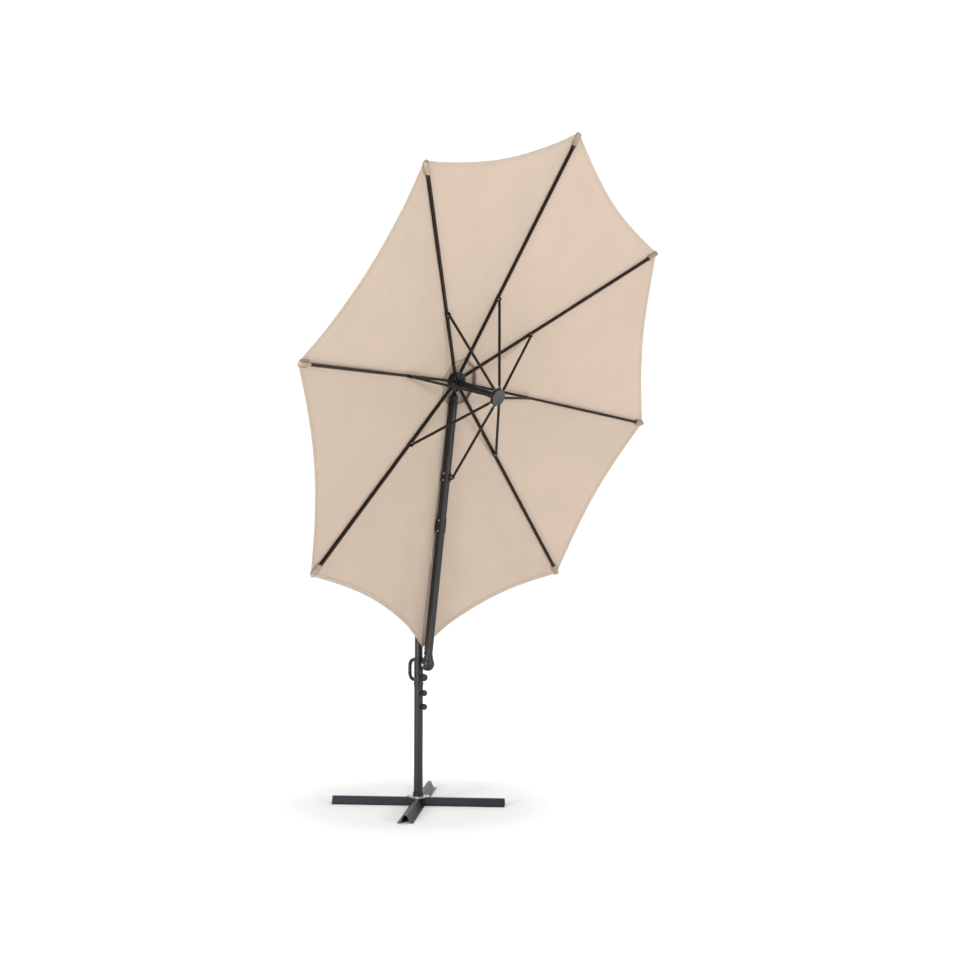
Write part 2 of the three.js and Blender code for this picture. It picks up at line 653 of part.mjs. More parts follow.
// A closed sheet from a grid of [x, y, z] points: its cells that keep() accepts, CLOTH thick.
function sheet(rows, keep = () => true) {
  const [n, m] = [rows.length, rows[0].length];
  const position = [];
  for (const lift of [CLOTH, 0]) {
    for (const row of rows) {
      for (const [x, y, z] of row) position.push(x, y, z + lift);
    }
  }
  const top = (i, j) => i * m + j;
  const under = (i, j) => n * m + top(i, j);
  const kept = (i, j) => i >= 0 && j >= 0 && i < n - 1 && j < m - 1 && keep(i, j);
  const index = [];
  const quad = (a, b, c, d) => index.push(a, b, c, a, c, d);
  const wall = (p, q) => quad(top(...q), top(...p), under(...p), under(...q));
  for (let i = 0; i < n - 1; i += 1) {
    for (let j = 0; j < m - 1; j += 1) {
      if (!kept(i, j)) continue;
      quad(top(i, j), top(i + 1, j), top(i + 1, j + 1), top(i, j + 1));
      quad(under(i, j), under(i, j + 1), under(i + 1, j + 1), under(i + 1, j));
      if (!kept(i - 1, j)) wall([i, j + 1], [i, j]);
      if (!kept(i + 1, j)) wall([i + 1, j], [i + 1, j + 1]);
      if (!kept(i, j - 1)) wall([i, j], [i + 1, j]);
      if (!kept(i, j + 1)) wall([i + 1, j + 1], [i, j + 1]);
    }
  }
  const g = new THREE.BufferGeometry();
  g.setAttribute('position', new THREE.Float32BufferAttribute(position, 3));
  g.setIndex(index);
  return surface(solid(g));
}

// Rib i's eighth of the canopy, from the middle of one panel to the middle of the next. The arm's
// has a slot for the ear that the stay holds.
function canopySection(i) {
  const slotted = i === ARM_RIB;
  const middle = slotted ? [-1.2, 0, 1.2] : [0];
  const offs = [-22.42, -15, -7.5, ...middle, 7.5, 15, 22.42].map(rad);
  const shares = [0, 0.12, 0.25, 0.38, 0.46, 0.54, 0.66, 0.78, 0.9, 1];
  const tipR = RIB_REACH * Math.cos(rad(DROOP));
  const rows = shares.map((share) => offs.map((off) => {
    const bow = 1 - (1 - Math.abs(off) / HALF_PANEL) ** 2;
    const corner = slotted ? ARM_CORNER_REACH * Math.max(0, 1 - Math.abs(off) / rad(7.5)) : 0;
    const hem = chord(tipR, off) - SCALLOP * bow + corner;
    const r = THREE.MathUtils.lerp(chord(VENT_R, off), hem, share);
    const [x, y] = [r * Math.cos(off), r * Math.sin(off)];
    return [x, y, clothHeight(i, r, off)];
  }));
  const inSlot = (a, b) => slotted && (a === 4 || a === 5) && (b === 3 || b === 4);
  return sheet(rows, (a, b) => !inSlot(a, b));
}

// Height of the vent cap over rib i's eighth: sewn down at the ribs, and lifted between them.
function capHeight(i, off, share) {
  const bow = 1 - (1 - Math.abs(off) / HALF_PANEL) ** 2;
  const edge = clothHeight(i, chord(CAP_R, off), off) + CAP_CORNER + CAP_LIFT * bow;
  return THREE.MathUtils.lerp(CAP_TOP, edge, share ** CAP_CURVE);
}

function ventCap() {
  const turns = [];
  for (let k = 0; k <= 32; k += 1) turns.push((k / 32) * 2 * Math.PI);
  const rows = [0, 0.2, 0.4, 0.6, 0.8, 1].map((share) => turns.map((turn) => {
    const nearest = Math.round(turn / (2 * HALF_PANEL));
    const off = turn - nearest * 2 * HALF_PANEL;
    const r = THREE.MathUtils.lerp(CAP_INNER_R, chord(CAP_R, off), share);
    return [r * Math.cos(turn), r * Math.sin(turn), capHeight(ARM_RIB + nearest, off, share)];
  }));
  return ringSheet(rows);
}

// A sheet whose last column is its first again.
function ringSheet(rows) {
  const m = rows[0].length - 1;
  const position = [];
  for (const lift of [CLOTH, 0]) {
    for (const row of rows) {
      for (const [x, y, z] of row.slice(0, m)) position.push(x, y, z + lift);
    }
  }
  const last = rows.length - 1;
  const at = (layer, i, j) => layer * rows.length * m + i * m + (j % m);
  const index = [];
  const quad = (a, b, c, d) => index.push(a, b, c, a, c, d);
  for (let j = 0; j < m; j += 1) {
    for (let i = 0; i < last; i += 1) {
      quad(at(0, i, j), at(0, i + 1, j), at(0, i + 1, j + 1), at(0, i, j + 1));
      quad(at(1, i, j), at(1, i, j + 1), at(1, i + 1, j + 1), at(1, i + 1, j));
    }
    quad(at(0, 0, j), at(0, 0, j + 1), at(1, 0, j + 1), at(1, 0, j));
    quad(at(0, last, j + 1), at(0, last, j), at(1, last, j), at(1, last, j + 1));
  }
  const g = new THREE.BufferGeometry();
  g.setAttribute('position', new THREE.Float32BufferAttribute(position, 3));
  g.setIndex(index);
  return g;
}

function buildCloth() {
  const canopy = new THREE.Group();
  for (let i = 1; i <= RIB_COUNT; i += 1) {
    const piece = part(`canopy_section_${i}`, canopySection(i), cloth);
    piece.rotation.z = ribAngle(i);
    canopy.add(piece);
  }
  canopy.add(part('vent_cap', ventCap(), cloth));
  return canopy;
}

// ---- assembly ------------------------------------------------------------------------------

function buildCanopy() {
  const canopy = new THREE.Group();
  canopy.add(buildCanopyFrame(), buildCloth());
  const lean = rad(ARM_LEAN);
  canopy.position.set(PIVOT_X + ARM_TO_HUB * Math.sin(lean), 0, PIVOT_Z + ARM_TO_HUB * Math.cos(lean));
  // the arm runs down the cone of the ribs, so the canopy's plane leans by the droop more than it
  const tilt = lean + rad(DROOP);
  const towardsArm = new THREE.Vector3(-Math.sin(tilt), 0, -Math.cos(tilt));
  const top = new THREE.Vector3(-Math.cos(tilt), 0, Math.sin(tilt));
  const across = new THREE.Vector3().crossVectors(top, towardsArm);
  canopy.quaternion.setFromRotationMatrix(new THREE.Matrix4().makeBasis(towardsArm, across, top));
  return canopy;
}

const parasol = new THREE.Group();
const upper = new THREE.Group();
upper.add(buildMast(), buildSlider(), buildArm(), buildStay(), buildCanopy());
upper.rotation.z = rad(MAST_AZIMUTH);
parasol.add(buildBase(), upper);

export default parasol;
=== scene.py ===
import json
from math import atan2, cos, pi, radians, sin, tan
import bmesh
import bpy
import numpy as np
from mathutils import Matrix, Vector


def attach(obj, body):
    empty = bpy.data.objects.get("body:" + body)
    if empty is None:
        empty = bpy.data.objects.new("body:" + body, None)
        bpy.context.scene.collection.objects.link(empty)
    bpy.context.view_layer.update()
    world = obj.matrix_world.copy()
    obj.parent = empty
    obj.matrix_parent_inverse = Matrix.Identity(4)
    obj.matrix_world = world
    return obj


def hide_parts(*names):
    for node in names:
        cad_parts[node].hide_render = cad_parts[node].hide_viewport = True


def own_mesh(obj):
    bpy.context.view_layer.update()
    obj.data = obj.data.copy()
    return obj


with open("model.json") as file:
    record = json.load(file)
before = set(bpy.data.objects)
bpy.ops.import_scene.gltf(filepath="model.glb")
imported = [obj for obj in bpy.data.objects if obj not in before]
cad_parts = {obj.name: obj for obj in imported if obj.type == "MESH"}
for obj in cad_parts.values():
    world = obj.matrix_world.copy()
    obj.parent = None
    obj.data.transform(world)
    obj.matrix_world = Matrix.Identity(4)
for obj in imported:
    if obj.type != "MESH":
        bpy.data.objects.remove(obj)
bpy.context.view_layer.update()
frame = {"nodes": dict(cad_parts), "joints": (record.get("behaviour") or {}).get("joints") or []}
scene = bpy.context.scene

# Lengths are in millimetres and angles in degrees, as in the CAD, until placed() turns them into metres.
MM = 0.001
HALF = radians(22.5)
DROOP = radians(13.42)
REACH = 1480
HINGE_R = 32
RIB_DROOP = atan2(REACH * sin(DROOP), REACH * cos(DROOP) - HINGE_R)
RIB_BRACKET, STRUT_DROP = 487, 16
LIFT, ARM_LIFT_IN, ARM_LIFT_OUT = 12, 20, 36
SCALLOP, SAG, ARM_CORNER_REACH = 58, 14, 28
VENT_R, CAP_R, CAP_TOP = 138, 215, 30
RUNNER_Z, RUNNER_R, PIVOT_R = -305, 44, 50
ARM_X = 24
STAY_AT = (-75, 780)
ROWS = 50
THREAD = 5.0
SIMULATED_FRAMES, MOST_MOVED = 24, 10


# ---- camera, floor and light -----------------------------------------------------------------

camera = bpy.data.objects.new("camera", bpy.data.cameras.new("camera"))
scene.collection.objects.link(camera)
camera.location = (0.9156, -6.5243, 1.3346)
camera.rotation_euler = (radians(94.15), 0, radians(4.99))
camera.data.sensor_width = 36
camera.data.lens = 43.5
camera.data.dof.use_dof = False
scene.camera = camera
scene.view_settings.view_transform = "Standard"


class Nodes:
    """A node tree that is filled by calls: a socket gets a number, or the output of another node."""

    def __init__(self, tree):
        self.tree = tree
        tree.nodes.clear()

    def add(self, kind, sockets=(), **settings):
        node = self.tree.nodes.new("ShaderNode" + kind)
        for name, value in settings.items():
            setattr(node, name, value)
        for name, value in dict(sockets).items():
            if isinstance(value, bpy.types.NodeSocket):
                self.tree.links.new(value, node.inputs[name])
            else:
                node.inputs[name].default_value = value
        return node

    def maths(self, operation, a, b):
        return self.add("Math", {0: a, 1: b}, operation=operation).outputs[0]

    def noise(self, where, scale, detail=3.0):
        sockets = {"Vector": where, "Scale": scale, "Detail": detail, "Roughness": 0.6}
        return self.add("TexNoise", sockets).outputs[0]

    def stretch(self, where, scale):
        return self.add("Mapping", {"Vector": where, "Scale": scale}).outputs[0]

    def ramp(self, value, low, high):
        sockets = {0: value, 1: low, 2: high}
        return self.add("MapRange", sockets, interpolation_type="SMOOTHSTEP").outputs[0]

    def mix(self, share, a, b, blend="MIX"):
        node = self.add("Mix", {0: share, 6: a, 7: b}, data_type="RGBA", blend_type=blend)
        return node.outputs[2]


def shade(colour, by):
    return tuple(min(1.0, c * by) for c in colour[:3]) + (1.0,)


def finished(name, build):
    """A material whose nodes build() makes; it returns the shader."""
    material = bpy.data.materials.new(name)
    material.use_nodes = True
    nodes = Nodes(material.node_tree)
    nodes.add("OutputMaterial", {"Surface": build(nodes)})
    return material


def hard(name, colour, rough, grain, bump, spread=0.1, metal=0.0, wear=0.35, streaks=None, shine=0.5):
    """Paint, moulded plastic or steel: grain in the surface, uneven colour, and worn edges."""

    def build(n):
        where = n.add("TexCoord").outputs["Object"]
        broad = n.noise(where, 7.0)
        fine = n.noise(n.stretch(where, streaks) if streaks else where, grain, 2.0)
        tone = n.mix(n.ramp(broad, 0.3, 0.7), shade(colour, 1 - spread), shade(colour, 1 + spread))
        tone = n.mix(n.maths("MULTIPLY", fine, 0.25), tone, shade(colour, 0.6))
        edge = n.ramp(n.add("NewGeometry").outputs["Pointiness"], 0.52, 0.6)
        rubbed = n.maths("MULTIPLY", edge, n.ramp(n.noise(where, 60.0), 0.35, 0.75))
        tone = n.mix(n.maths("MULTIPLY", rubbed, wear), tone, shade(colour, 2.6))
        roughness = n.maths("ADD", n.maths("MULTIPLY", fine, 0.22), rough - 0.11)
        height = n.maths("ADD", fine, n.maths("MULTIPLY", n.noise(where, grain * 0.2), 0.6))
        normal = n.add("Bump", {"Strength": bump, "Distance": 0.0004, "Height": height}).outputs[0]
        return n.add("BsdfPrincipled", {
            "Base Color": tone, "Roughness": roughness, "Metallic": metal, "Normal": normal,
            "Specular IOR Level": shine,
        }).outputs[0]

    return finished(name, build)


def woven(name, colour, pitch, through, bump, spread=0.035, lines=0.12):
    """Cloth whose threads follow its UVs, which are in metres: weave, slubs, mottling and sheen."""

    def build(n):
        where = n.add("TexCoord").outputs["UV"]
        wave = {"Vector": where, "Scale": 0.314 / pitch, "Distortion": 0.6, "Detail": 1.0}
        warp = n.add("TexWave", wave, bands_direction="X").outputs["Fac"]
        weft = n.add("TexWave", wave, bands_direction="Y").outputs["Fac"]
        cell = n.add("TexChecker", {"Vector": where, "Scale": 1.0 / pitch}).outputs["Fac"]
        weave = n.add("Mix", {0: cell, 2: warp, 3: weft}, data_type="FLOAT").outputs[0]
        across = n.noise(n.stretch(where, (500, 9, 1)), 1.0)
        along = n.noise(n.stretch(where, (9, 500, 1)), 1.0)
        slub = n.maths("ADD", across, along)
        cloud = n.noise(where, 3.2, 4.0)
        tone = n.mix(n.ramp(cloud, 0.25, 0.75), shade(colour, 1 - spread), shade(colour, 1 + spread))
        tone = n.mix(n.maths("MULTIPLY", n.ramp(slub, 0.7, 1.3), lines), tone, shade(colour, 0.72))
        tone = n.mix(n.maths("MULTIPLY", weave, 0.10), tone, shade(colour, 0.7))
        ripple = n.maths("MULTIPLY", n.noise(where, 24.0), 2.0)
        height = n.maths("ADD", n.maths("ADD", weave, n.maths("MULTIPLY", slub, 0.4)), ripple)
        normal = n.add("Bump", {"Strength": bump, "Distance": 0.0004, "Height": height}).outputs[0]
        skin = n.add("BsdfPrincipled", {
            "Base Color": tone, "Roughness": 0.85, "Normal": normal, "Sheen Weight": 0.12,
            "Sheen Roughness": 0.45, "Specular IOR Level": 0.25,
        }).outputs[0]
        if not through:
            return skin
        glow = n.add("BsdfTranslucent", {"Color": tone, "Normal": normal}).outputs[0]
        return n.add("MixShader", {0: through, 1: skin, 2: glow}).outputs[0]

    return finished(name, build)


CLOTH = (0.60, 0.49, 0.395, 1)
cloth = woven("parasol_cloth", CLOTH, 0.0012, 0.22, 0.30)
hemmed = woven("cloth_hem", (0.565, 0.462, 0.372, 1), 0.0012, 0.19, 0.40)
seamed = woven("cloth_seam", (0.64, 0.51, 0.42, 1), 0.0012, 0.10, 0.40)
# Pocket webbing: a browner tape than the cloth, made darker still as painted shade.
webbing_painted_shade = woven("pocket_webbing", (0.35, 0.285, 0.22, 1), 0.0024, 0.05, 0.7, lines=0.3)
# Vent binding: dark reddish-brown as painted shade of the shadowed gap at the vent's edge.
binding = woven("vent_binding_painted_shade", (0.34, 0.21, 0.16, 1), 0.0016, 0.05, 0.6)
thread_dark = woven("dark_thread", (0.085, 0.06, 0.042, 1), 0.0006, 0.0, 0.5)
thread = woven("sewing_thread", (0.46, 0.37, 0.30, 1), 0.0006, 0.0, 0.5)
base_paint = hard("base_powder_coat", (0.019, 0.021, 0.029, 1), 0.42, 900.0, 0.25, shine=0.3)
frame_paint = hard("frame_powder_coat", (0.014, 0.014, 0.0145, 1), 0.32, 1100.0, 0.18, shine=0.35)
rib_paint = hard("rib_powder_coat", (0.015, 0.0095, 0.006, 1), 0.46, 1100.0, 0.18, shine=0.14)
nylon = hard("moulded_nylon", (0.011, 0.011, 0.012, 1), 0.40, 1500.0, 0.45, spread=0.15, wear=0.2, shine=0.35)
grey_nylon = hard("grey_nylon", (0.040, 0.041, 0.042, 1), 0.50, 1500.0, 0.4, spread=0.12, wear=0.2)
plate = hard("galvanised_plate", (0.42, 0.43, 0.46, 1), 0.40, 240.0, 0.2, spread=0.16, metal=0.85)
steel = hard("zinc_steel", (0.62, 0.62, 0.63, 1), 0.33, 900.0, 0.15, metal=1.0, streaks=(1, 1, 6))


def floor_shader(n):
    where = n.add("TexCoord").outputs["Object"]
    speck = n.noise(where, 40.0)
    away = n.add("VectorMath", {0: where}, operation="LENGTH").outputs["Value"]
    glow = n.maths("MULTIPLY", n.ramp(away, 0.45, 1.5), 0.50)
    tone = n.mix(speck, (0.93, 0.93, 0.93, 1), (0.95, 0.95, 0.95, 1))
    return n.add("BsdfPrincipled", {
        "Base Color": tone, "Roughness": 0.8, "Specular IOR Level": 0.1,
        "Emission Color": (1, 1, 1, 1), "Emission Strength": glow,
    }).outputs[0]


floor_finish = finished("studio_floor", floor_shader)


def light(name, place, target, size, power, tint=(1, 1, 1)):
    lamp = bpy.data.objects.new(name, bpy.data.lights.new(name, "AREA"))
    lamp.data.shape = "DISK"
    lamp.data.size = size
    lamp.data.energy = power
    lamp.data.color = tint
    lamp.location = place
    lamp.rotation_euler = (Vector(target) - Vector(place)).to_track_quat("-Z", "Y").to_euler()
    scene.collection.objects.link(lamp)


light("key", (-3.6, -6.5, 2.2), (0.2, 0, 1.3), 3.0, 430, (1.0, 0.985, 0.96))
light("fill", (6.0, -4.5, 2.0), (0.2, 0, 1.4), 1.6, 220, (0.98, 0.985, 1.0))
light("back", (1.5, 6.5, 4.0), (0.2, 0, 2.0), 4.5, 90)
world = bpy.data.worlds.new("studio")
world.use_nodes = True
scene.world = world
sky = Nodes(world.node_tree)
heading = sky.add("SeparateXYZ", {0: sky.add("TexCoord").outputs["Generated"]}).outputs["Y"]
strength = sky.add("MapRange", {0: heading, 1: -0.15, 2: 0.45, 3: 0.30, 4: 1.05}).outputs[0]
backdrop = sky.add("Background", {"Color": (1, 1, 1, 1), "Strength": strength})
sky.add("OutputWorld", {"Surface": backdrop.outputs[0]})


# ---- frames of the moving bodies, from the record's joints -------------------------------------

joints = {j["name"]: j for j in frame["joints"]}


def pos(name):
    return Vector(joints[name]["pos_m"])


def axes(origin, x, y):
    """The frame with those X and Y axes at origin, in metres."""
    m = Matrix((x.normalized(), y.normalized(), x.cross(y).normalized())).transposed().to_4x4()
    m.translation = origin
    return m


def shift(x, y, z):
    return Matrix.Translation((x * MM, y * MM, z * MM))


def turn(angle, axis):
    return Matrix.Rotation(angle, 4, axis)


AROUND = Vector(joints["arm_tilt"]["axis"])
OUTWARD = Vector(joints["clamp_knob_upper_turn"]["axis"])
MAST = axes(Vector(), OUTWARD, AROUND)
to_hub = (pos("canopy_fold") - pos("arm_tilt")).normalized()
ARM = axes(pos("arm_tilt"), AROUND.cross(to_hub), AROUND)
ARM_LENGTH = (pos("canopy_fold") - pos("arm_tilt")).length / MM
centre = (pos("rib_1_fold") + pos("rib_5_fold")) / 2
CANOPY = axes(centre, centre - pos("rib_2_fold"), pos("rib_8_fold") - centre)
ARM_RIB = 6


def spoke(i):
    """The frame of rib i's plane: X outwards and Z up the canopy's axis."""
    return CANOPY @ turn((i - ARM_RIB) * pi / 4, "Z")


def rib_frame(i):
    return spoke(i) @ shift(HINGE_R, 0, 0) @ turn(RIB_DROOP, "Y")


def rib_body(i):
    return "arm" if i == ARM_RIB else f"rib_body_{i}"


# ---- shapes: (points, faces) in millimetres in a local frame ------------------------------------

def joined(*shapes):
    points, faces = [], []
    for shape in shapes:
        start = sum(len(p) for p in points)
        points.append(np.asarray(shape[0], float))
        faces += [tuple(start + k for k in face) for face in shape[1]]
    return np.concatenate(points), faces


def placed(shape, matrix):
    """A shape in metres in the row frame."""
    m = np.array(matrix)
    return np.asarray(shape[0], float) * MM @ m[:3, :3].T + m[:3, 3], shape[1]


def moved(shape, matrix):
    """A shape turned and shifted, still in millimetres. shift() is in metres, so it is scaled back."""
    points, faces = placed(shape, matrix)
    return points / MM, faces


def loft(rings, caps=True):
    """A closed skin through rings of equally many points."""
    rings = np.asarray(rings, float)
    m, n = rings.shape[:2]
    faces = [(a * n + k, a * n + (k + 1) % n, (a + 1) * n + (k + 1) % n, (a + 1) * n + k)
             for a in range(m - 1) for k in range(n)]
    if caps:
        faces += [tuple(range(n))[::-1], tuple(range((m - 1) * n, m * n))]
    return rings.reshape(-1, 3), faces


def lathe(profile, steps=64, lobes=0, depth=0.0):
    """A solid turned about Z from (radius, height) points. Lobes scallop it by depth at its widest."""
    angle = np.linspace(0, 2 * pi, steps, endpoint=False)
    widest = max(r for r, z in profile)
    rings = []
    for r, z in profile:
        bite = depth * (0.5 - 0.5 * np.cos(lobes * angle)) * (r / widest) ** 6
        rim = max(r, 0.01) - bite
        rings.append(np.stack([rim * np.cos(angle), rim * np.sin(angle), np.full(steps, float(z))], 1))
    return loft(rings)


def ring(outer, inner, low, high, chamfer=0.6, steps=64):
    """A turned ring with small chamfers."""
    c = chamfer
    profile = [(inner, low + c), (inner + c, low), (outer - c, low), (outer, low + c), (outer, high - c),
               (outer - c, high), (inner + c, high), (inner, high - c)]
    angle = np.linspace(0, 2 * pi, steps, endpoint=False)
    points = np.array([[(r * np.cos(a), r * np.sin(a), z) for r, z in profile] for a in angle])
    n = len(profile)
    faces = [(a * n + k, a * n + (k + 1) % n, (a + 1) % steps * n + (k + 1) % n, (a + 1) % steps * n + k)
             for a in range(steps) for k in range(n)]
    return points.reshape(-1, 3), faces


def prism(outline, low, high):
    """An outline of (x, z) points between two heights along Y."""
    return loft([[(x, y, z) for x, z in outline] for y in (low, high)])


def rounded(width, height, radius, steps=5):
    """A rounded rectangle as (y, z) points."""
    points = []
    for k, (sy, sz) in enumerate([(1, 1), (-1, 1), (-1, -1), (1, -1)]):
        for t in np.linspace(0, pi / 2, steps):
            a = k * pi / 2 + t
            y = sy * (width / 2 - radius) + radius * cos(a)
            z = sz * (height / 2 - radius) + radius * sin(a)
            points.append((y, z))
    return points


def along_x(sections):
    """A skin through (x, outline of (y, z) points) sections."""
    return loft([[(x, y, z) for y, z in outline] for x, outline in sections])


def swept(path, radius, steps=24):
    """A round bar along a path in the XZ plane; radius has a value for each point of it."""
    path = np.asarray(path, float)
    step = np.gradient(path, axis=0)
    step /= np.linalg.norm(step, axis=1)[:, None]
    side = np.array([0.0, 1.0, 0.0])
    angle = np.linspace(0, 2 * pi, steps, endpoint=False)
    rings = [p + r * (np.cos(angle)[:, None] * side + np.sin(angle)[:, None] * np.cross(t, side))
             for p, t, r in zip(path, step, radius)]
    return loft(rings)


def screw_head(radius, height):
    """A pan head with a cross recess, standing on Z = 0."""
    r, h = radius, height
    head = lathe([(0, -0.6), (r, -0.6), (r, 0.35 * h), (0.86 * r, 0.75 * h), (0.5 * r, h), (0, h)], 28)
    slots = [moved(along_x([(x, rounded(0.22 * r, 0.5, 0.1, 3)) for x in (-0.55 * r, 0.55 * r)]),
                   shift(0, 0, h + 0.02) @ turn(a, "Z")) for a in (0, pi / 2)]
    return joined(head, *slots)


def rivet_pair(x, z, reach, radius):
    """Domed rivet heads on both sides of a fork, at +Y and -Y."""
    profile = [(0, -0.4), (radius, -0.4), (radius, 0.3), (0.8 * radius, 1.0), (0.4 * radius, 1.5), (0, 1.6)]
    dome = lathe(profile, 24)
    return joined(*[moved(dome, shift(x, s * reach, z) @ turn(-s * pi / 2, "X")) for s in (1, -1)])


# ---- pieces ---------------------------------------------------------------------------------

def piece(name, shape, body, material, bevel=0.0, uv=None, normals=None, angle=35):
    """A mesh object, its points in the row frame in metres, that rides on a body."""
    points, faces = shape
    mesh = bpy.data.meshes.new(name)
    mesh.from_pydata(np.asarray(points).tolist(), [], faces)
    if uv is None:
        work = bmesh.new()
        work.from_mesh(mesh)
        bmesh.ops.recalc_face_normals(work, faces=work.faces)
        work.to_mesh(mesh)
        work.free()
    mesh.polygons.foreach_set("use_smooth", [True] * len(mesh.polygons))
    if normals is None:
        mesh.set_sharp_from_angle(angle=radians(angle))
    else:
        mesh.normals_split_custom_set_from_vertices(np.asarray(normals).tolist())
    if uv is not None:
        layer = mesh.uv_layers.new(name="metres")
        corner = np.empty(len(mesh.loops), int)
        mesh.loops.foreach_get("vertex_index", corner)
        layer.data.foreach_set("uv", np.asarray(uv)[corner].ravel())
    mesh.materials.append(material)
    made = bpy.data.objects.new(name, mesh)
    scene.collection.objects.link(made)
    if bevel:
        soften(made, bevel)
    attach(made, body)
    return made


def soften(made, width, limit=32):
    edge = made.modifiers.new("bevel", "BEVEL")
    edge.width = width * MM
    edge.segments = 2
    edge.limit_method = "ANGLE"
    edge.angle_limit = radians(limit)
    edge.harden_normals = False
    even = made.modifiers.new("even", "WEIGHTED_NORMAL")
    even.keep_sharp = False


def refine(names, material, width):
    """A CAD node keeps its shape and gets rounded edges, smooth shading and its finish."""
    for name in names:
        node = frame["nodes"][name]
        mesh = node.data
        if "custom_normal" in mesh.attributes:
            mesh.attributes.remove(mesh.attributes["custom_normal"])
        mesh.polygons.foreach_set("use_smooth", [True] * len(mesh.polygons))
        weld = node.modifiers.new("weld", "WELD")
        weld.merge_threshold = 0.00001
        flat = node.modifiers.new("flat", "DECIMATE")
        flat.decimate_type = "DISSOLVE"
        flat.angle_limit = radians(0.8)
        soften(node, width)
        mesh.materials.clear()
        mesh.materials.append(material)


def numbered(name, count=8):
    return [f"{name}_{i}" for i in range(1, count + 1)]


thin_ribs = [i for i in range(1, 9) if i != ARM_RIB]
refine(["base_bar_lower", "base_bar_upper"], base_paint, 0.9)
refine(["base_flange"], plate, 0.7)
refine(numbered("base_bolt", 4), steel, 0.5)
refine(["mast_lower_tube", "mast_upper_tube", "arm_tube", "stay_link_left", "stay_link_right", "centre_tube"],
       frame_paint, 0.5)
refine(["mast_collar", "mast_top_plug", "slider_sleeve", "arm_casting", "arm_strut_bracket",
        "arm_stay_bracket", "arm_head", "canopy_hub", "runner_ring"], nylon, 0.8)
refine(["stay_pin_mast", "stay_pin_arm", "arm_pivot_pin", "hub_hinge_pin"], steel, 0.5)
refine([f"rib_{i}" for i in thin_ribs], rib_paint, 0.9)


# ---- base and mast ---------------------------------------------------------------------------

PLATE_TOP = 45.3
bead_turns = np.linspace(0, 2 * pi, 120, endpoint=False)
bead = []
for a in bead_turns:
    swell = 1.9 + 0.25 * sin(40 * a) + 0.15 * sin(17 * a + 1)
    across = np.linspace(0, 2 * pi, 8, endpoint=False)
    r = 30.2 + swell * np.cos(across)
    bead.append(np.stack([r * cos(a), r * sin(a), PLATE_TOP + swell * np.sin(across)], 1))
bead.append(bead[0])
piece("base_weld_bead", placed(loft(bead, caps=False), Matrix()), "base", plate)
sleeve = ring(30.2, 25.15, PLATE_TOP + 1.2, PLATE_TOP + 23.2, 1.0)
piece("base_collar_cover", placed(sleeve, Matrix()), "base", frame_paint)
corners = [(52 * cos(a), 52 * sin(a)) for a in (0, pi / 2, pi, 1.5 * pi)]
skirts = joined(*[moved(ring(10.5, 6.6, PLATE_TOP + 0.05, PLATE_TOP + 1.9, 0.5, 40), shift(x, y, 0))
                  for x, y in corners])
piece("base_washers", placed(skirts, Matrix()), "base", steel)


def knob(name, node, height, radius, body):
    """A clamp knob: a threaded stem, a collar and a lobed grip with a dished face."""
    stem = [(0, 22.6)] + [(4.0 - 0.35 * (k % 2), 22.8 + 0.5 * k) for k in range(16)]
    stem += [(4.0, 31), (8.6, 31.4), (9.0, 32.2), (9.0, 33.8), (radius - 4, 34.1), (radius - 1.2, 34.9),
             (radius, 36.6), (radius, 49.2), (radius - 0.7, 51.2), (radius - 2.6, 53.0), (radius - 5, 53.7),
             (radius - 6.2, 53.0), (radius - 8, 52.5), (0, 52.3)]
    shape = lathe(stem, 96, 8, 2.2)
    shape = placed(shape, MAST @ shift(0, 0, height) @ turn(pi / 2, "Y"))
    made = piece(name, shape, body, nylon, angle=50)
    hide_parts(node)


knob("clamp_knob_1_lobed", "clamp_knob_1", 616, 17.0, "clamp_knob_upper")
knob("clamp_knob_2_lobed", "clamp_knob_2", 540, 17.0, "clamp_knob_lower")
knob("slider_knob_lobed", "slider_knob", 702, 20.0, "slider_clamp")
lips = joined(ring(28.4, 25.3, 664.8, 673, 1.2), ring(26.6, 25.3, 805.5, 811.6, 0.6),
              ring(27.2, 25.3, 722, 726, 0.8), ring(26.3, 25.3, 744, 746, 0.4))
piece("slider_lips", placed(lips, MAST), "slider", nylon)


def bezier(a, b, c, steps):
    t = np.linspace(0, 1, steps)[:, None]
    return (1 - t) ** 2 * np.array(a) + 2 * t * (1 - t) * np.array(b) + t ** 2 * np.array(c)


upper = bezier((-26.4, 0, 798), (-63, 0, 800), (-67, 0, 764), 16)
lower = bezier((-67, 0, 720.5), (-63, 0, 684.5), (-26.4, 0, 686.5), 16)
bar = np.concatenate([upper, np.linspace(upper[-1], lower[0], 18)[1:-1], lower])
share = np.linspace(0, 1, len(bar))
girth = 10.0 + 0.5 * np.sin(share * 10 * pi) * (np.abs(share - 0.5) < 0.3)
grip = piece("slider_grip_bar", placed(swept(bar, girth), MAST), "slider", nylon, angle=60)
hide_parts("slider_grip")


# ---- arm -------------------------------------------------------------------------------------

def side_screws(places, reach, radius):
    """Screws on the arm's two sides at (x, z) places."""
    heads = [moved(screw_head(radius, 2.2), shift(x, s * reach, z) @ turn(-s * pi / 2, "X"))
             for x, z in places for s in (1, -1)]
    return placed(joined(*heads), ARM)


strut_bracket_z = ARM_LENGTH - 489
strut_bracket_screws = side_screws([(0, strut_bracket_z - 19), (0, strut_bracket_z + 19)], 22.1, 4.6)
piece("arm_strut_bracket_screws", strut_bracket_screws, "arm", steel)
piece("arm_stay_bracket_screws", side_screws([(0, STAY_AT[1] - 29), (0, STAY_AT[1] + 29)], 22.1, 4.6),
      "arm", steel)
piece("arm_casting_screw", side_screws([(-12, 78)], 19.1, 4.2), "arm", steel)
piece("arm_strut_rivets", placed(rivet_pair(50, strut_bracket_z, 10.7, 5), ARM), "arm", steel)


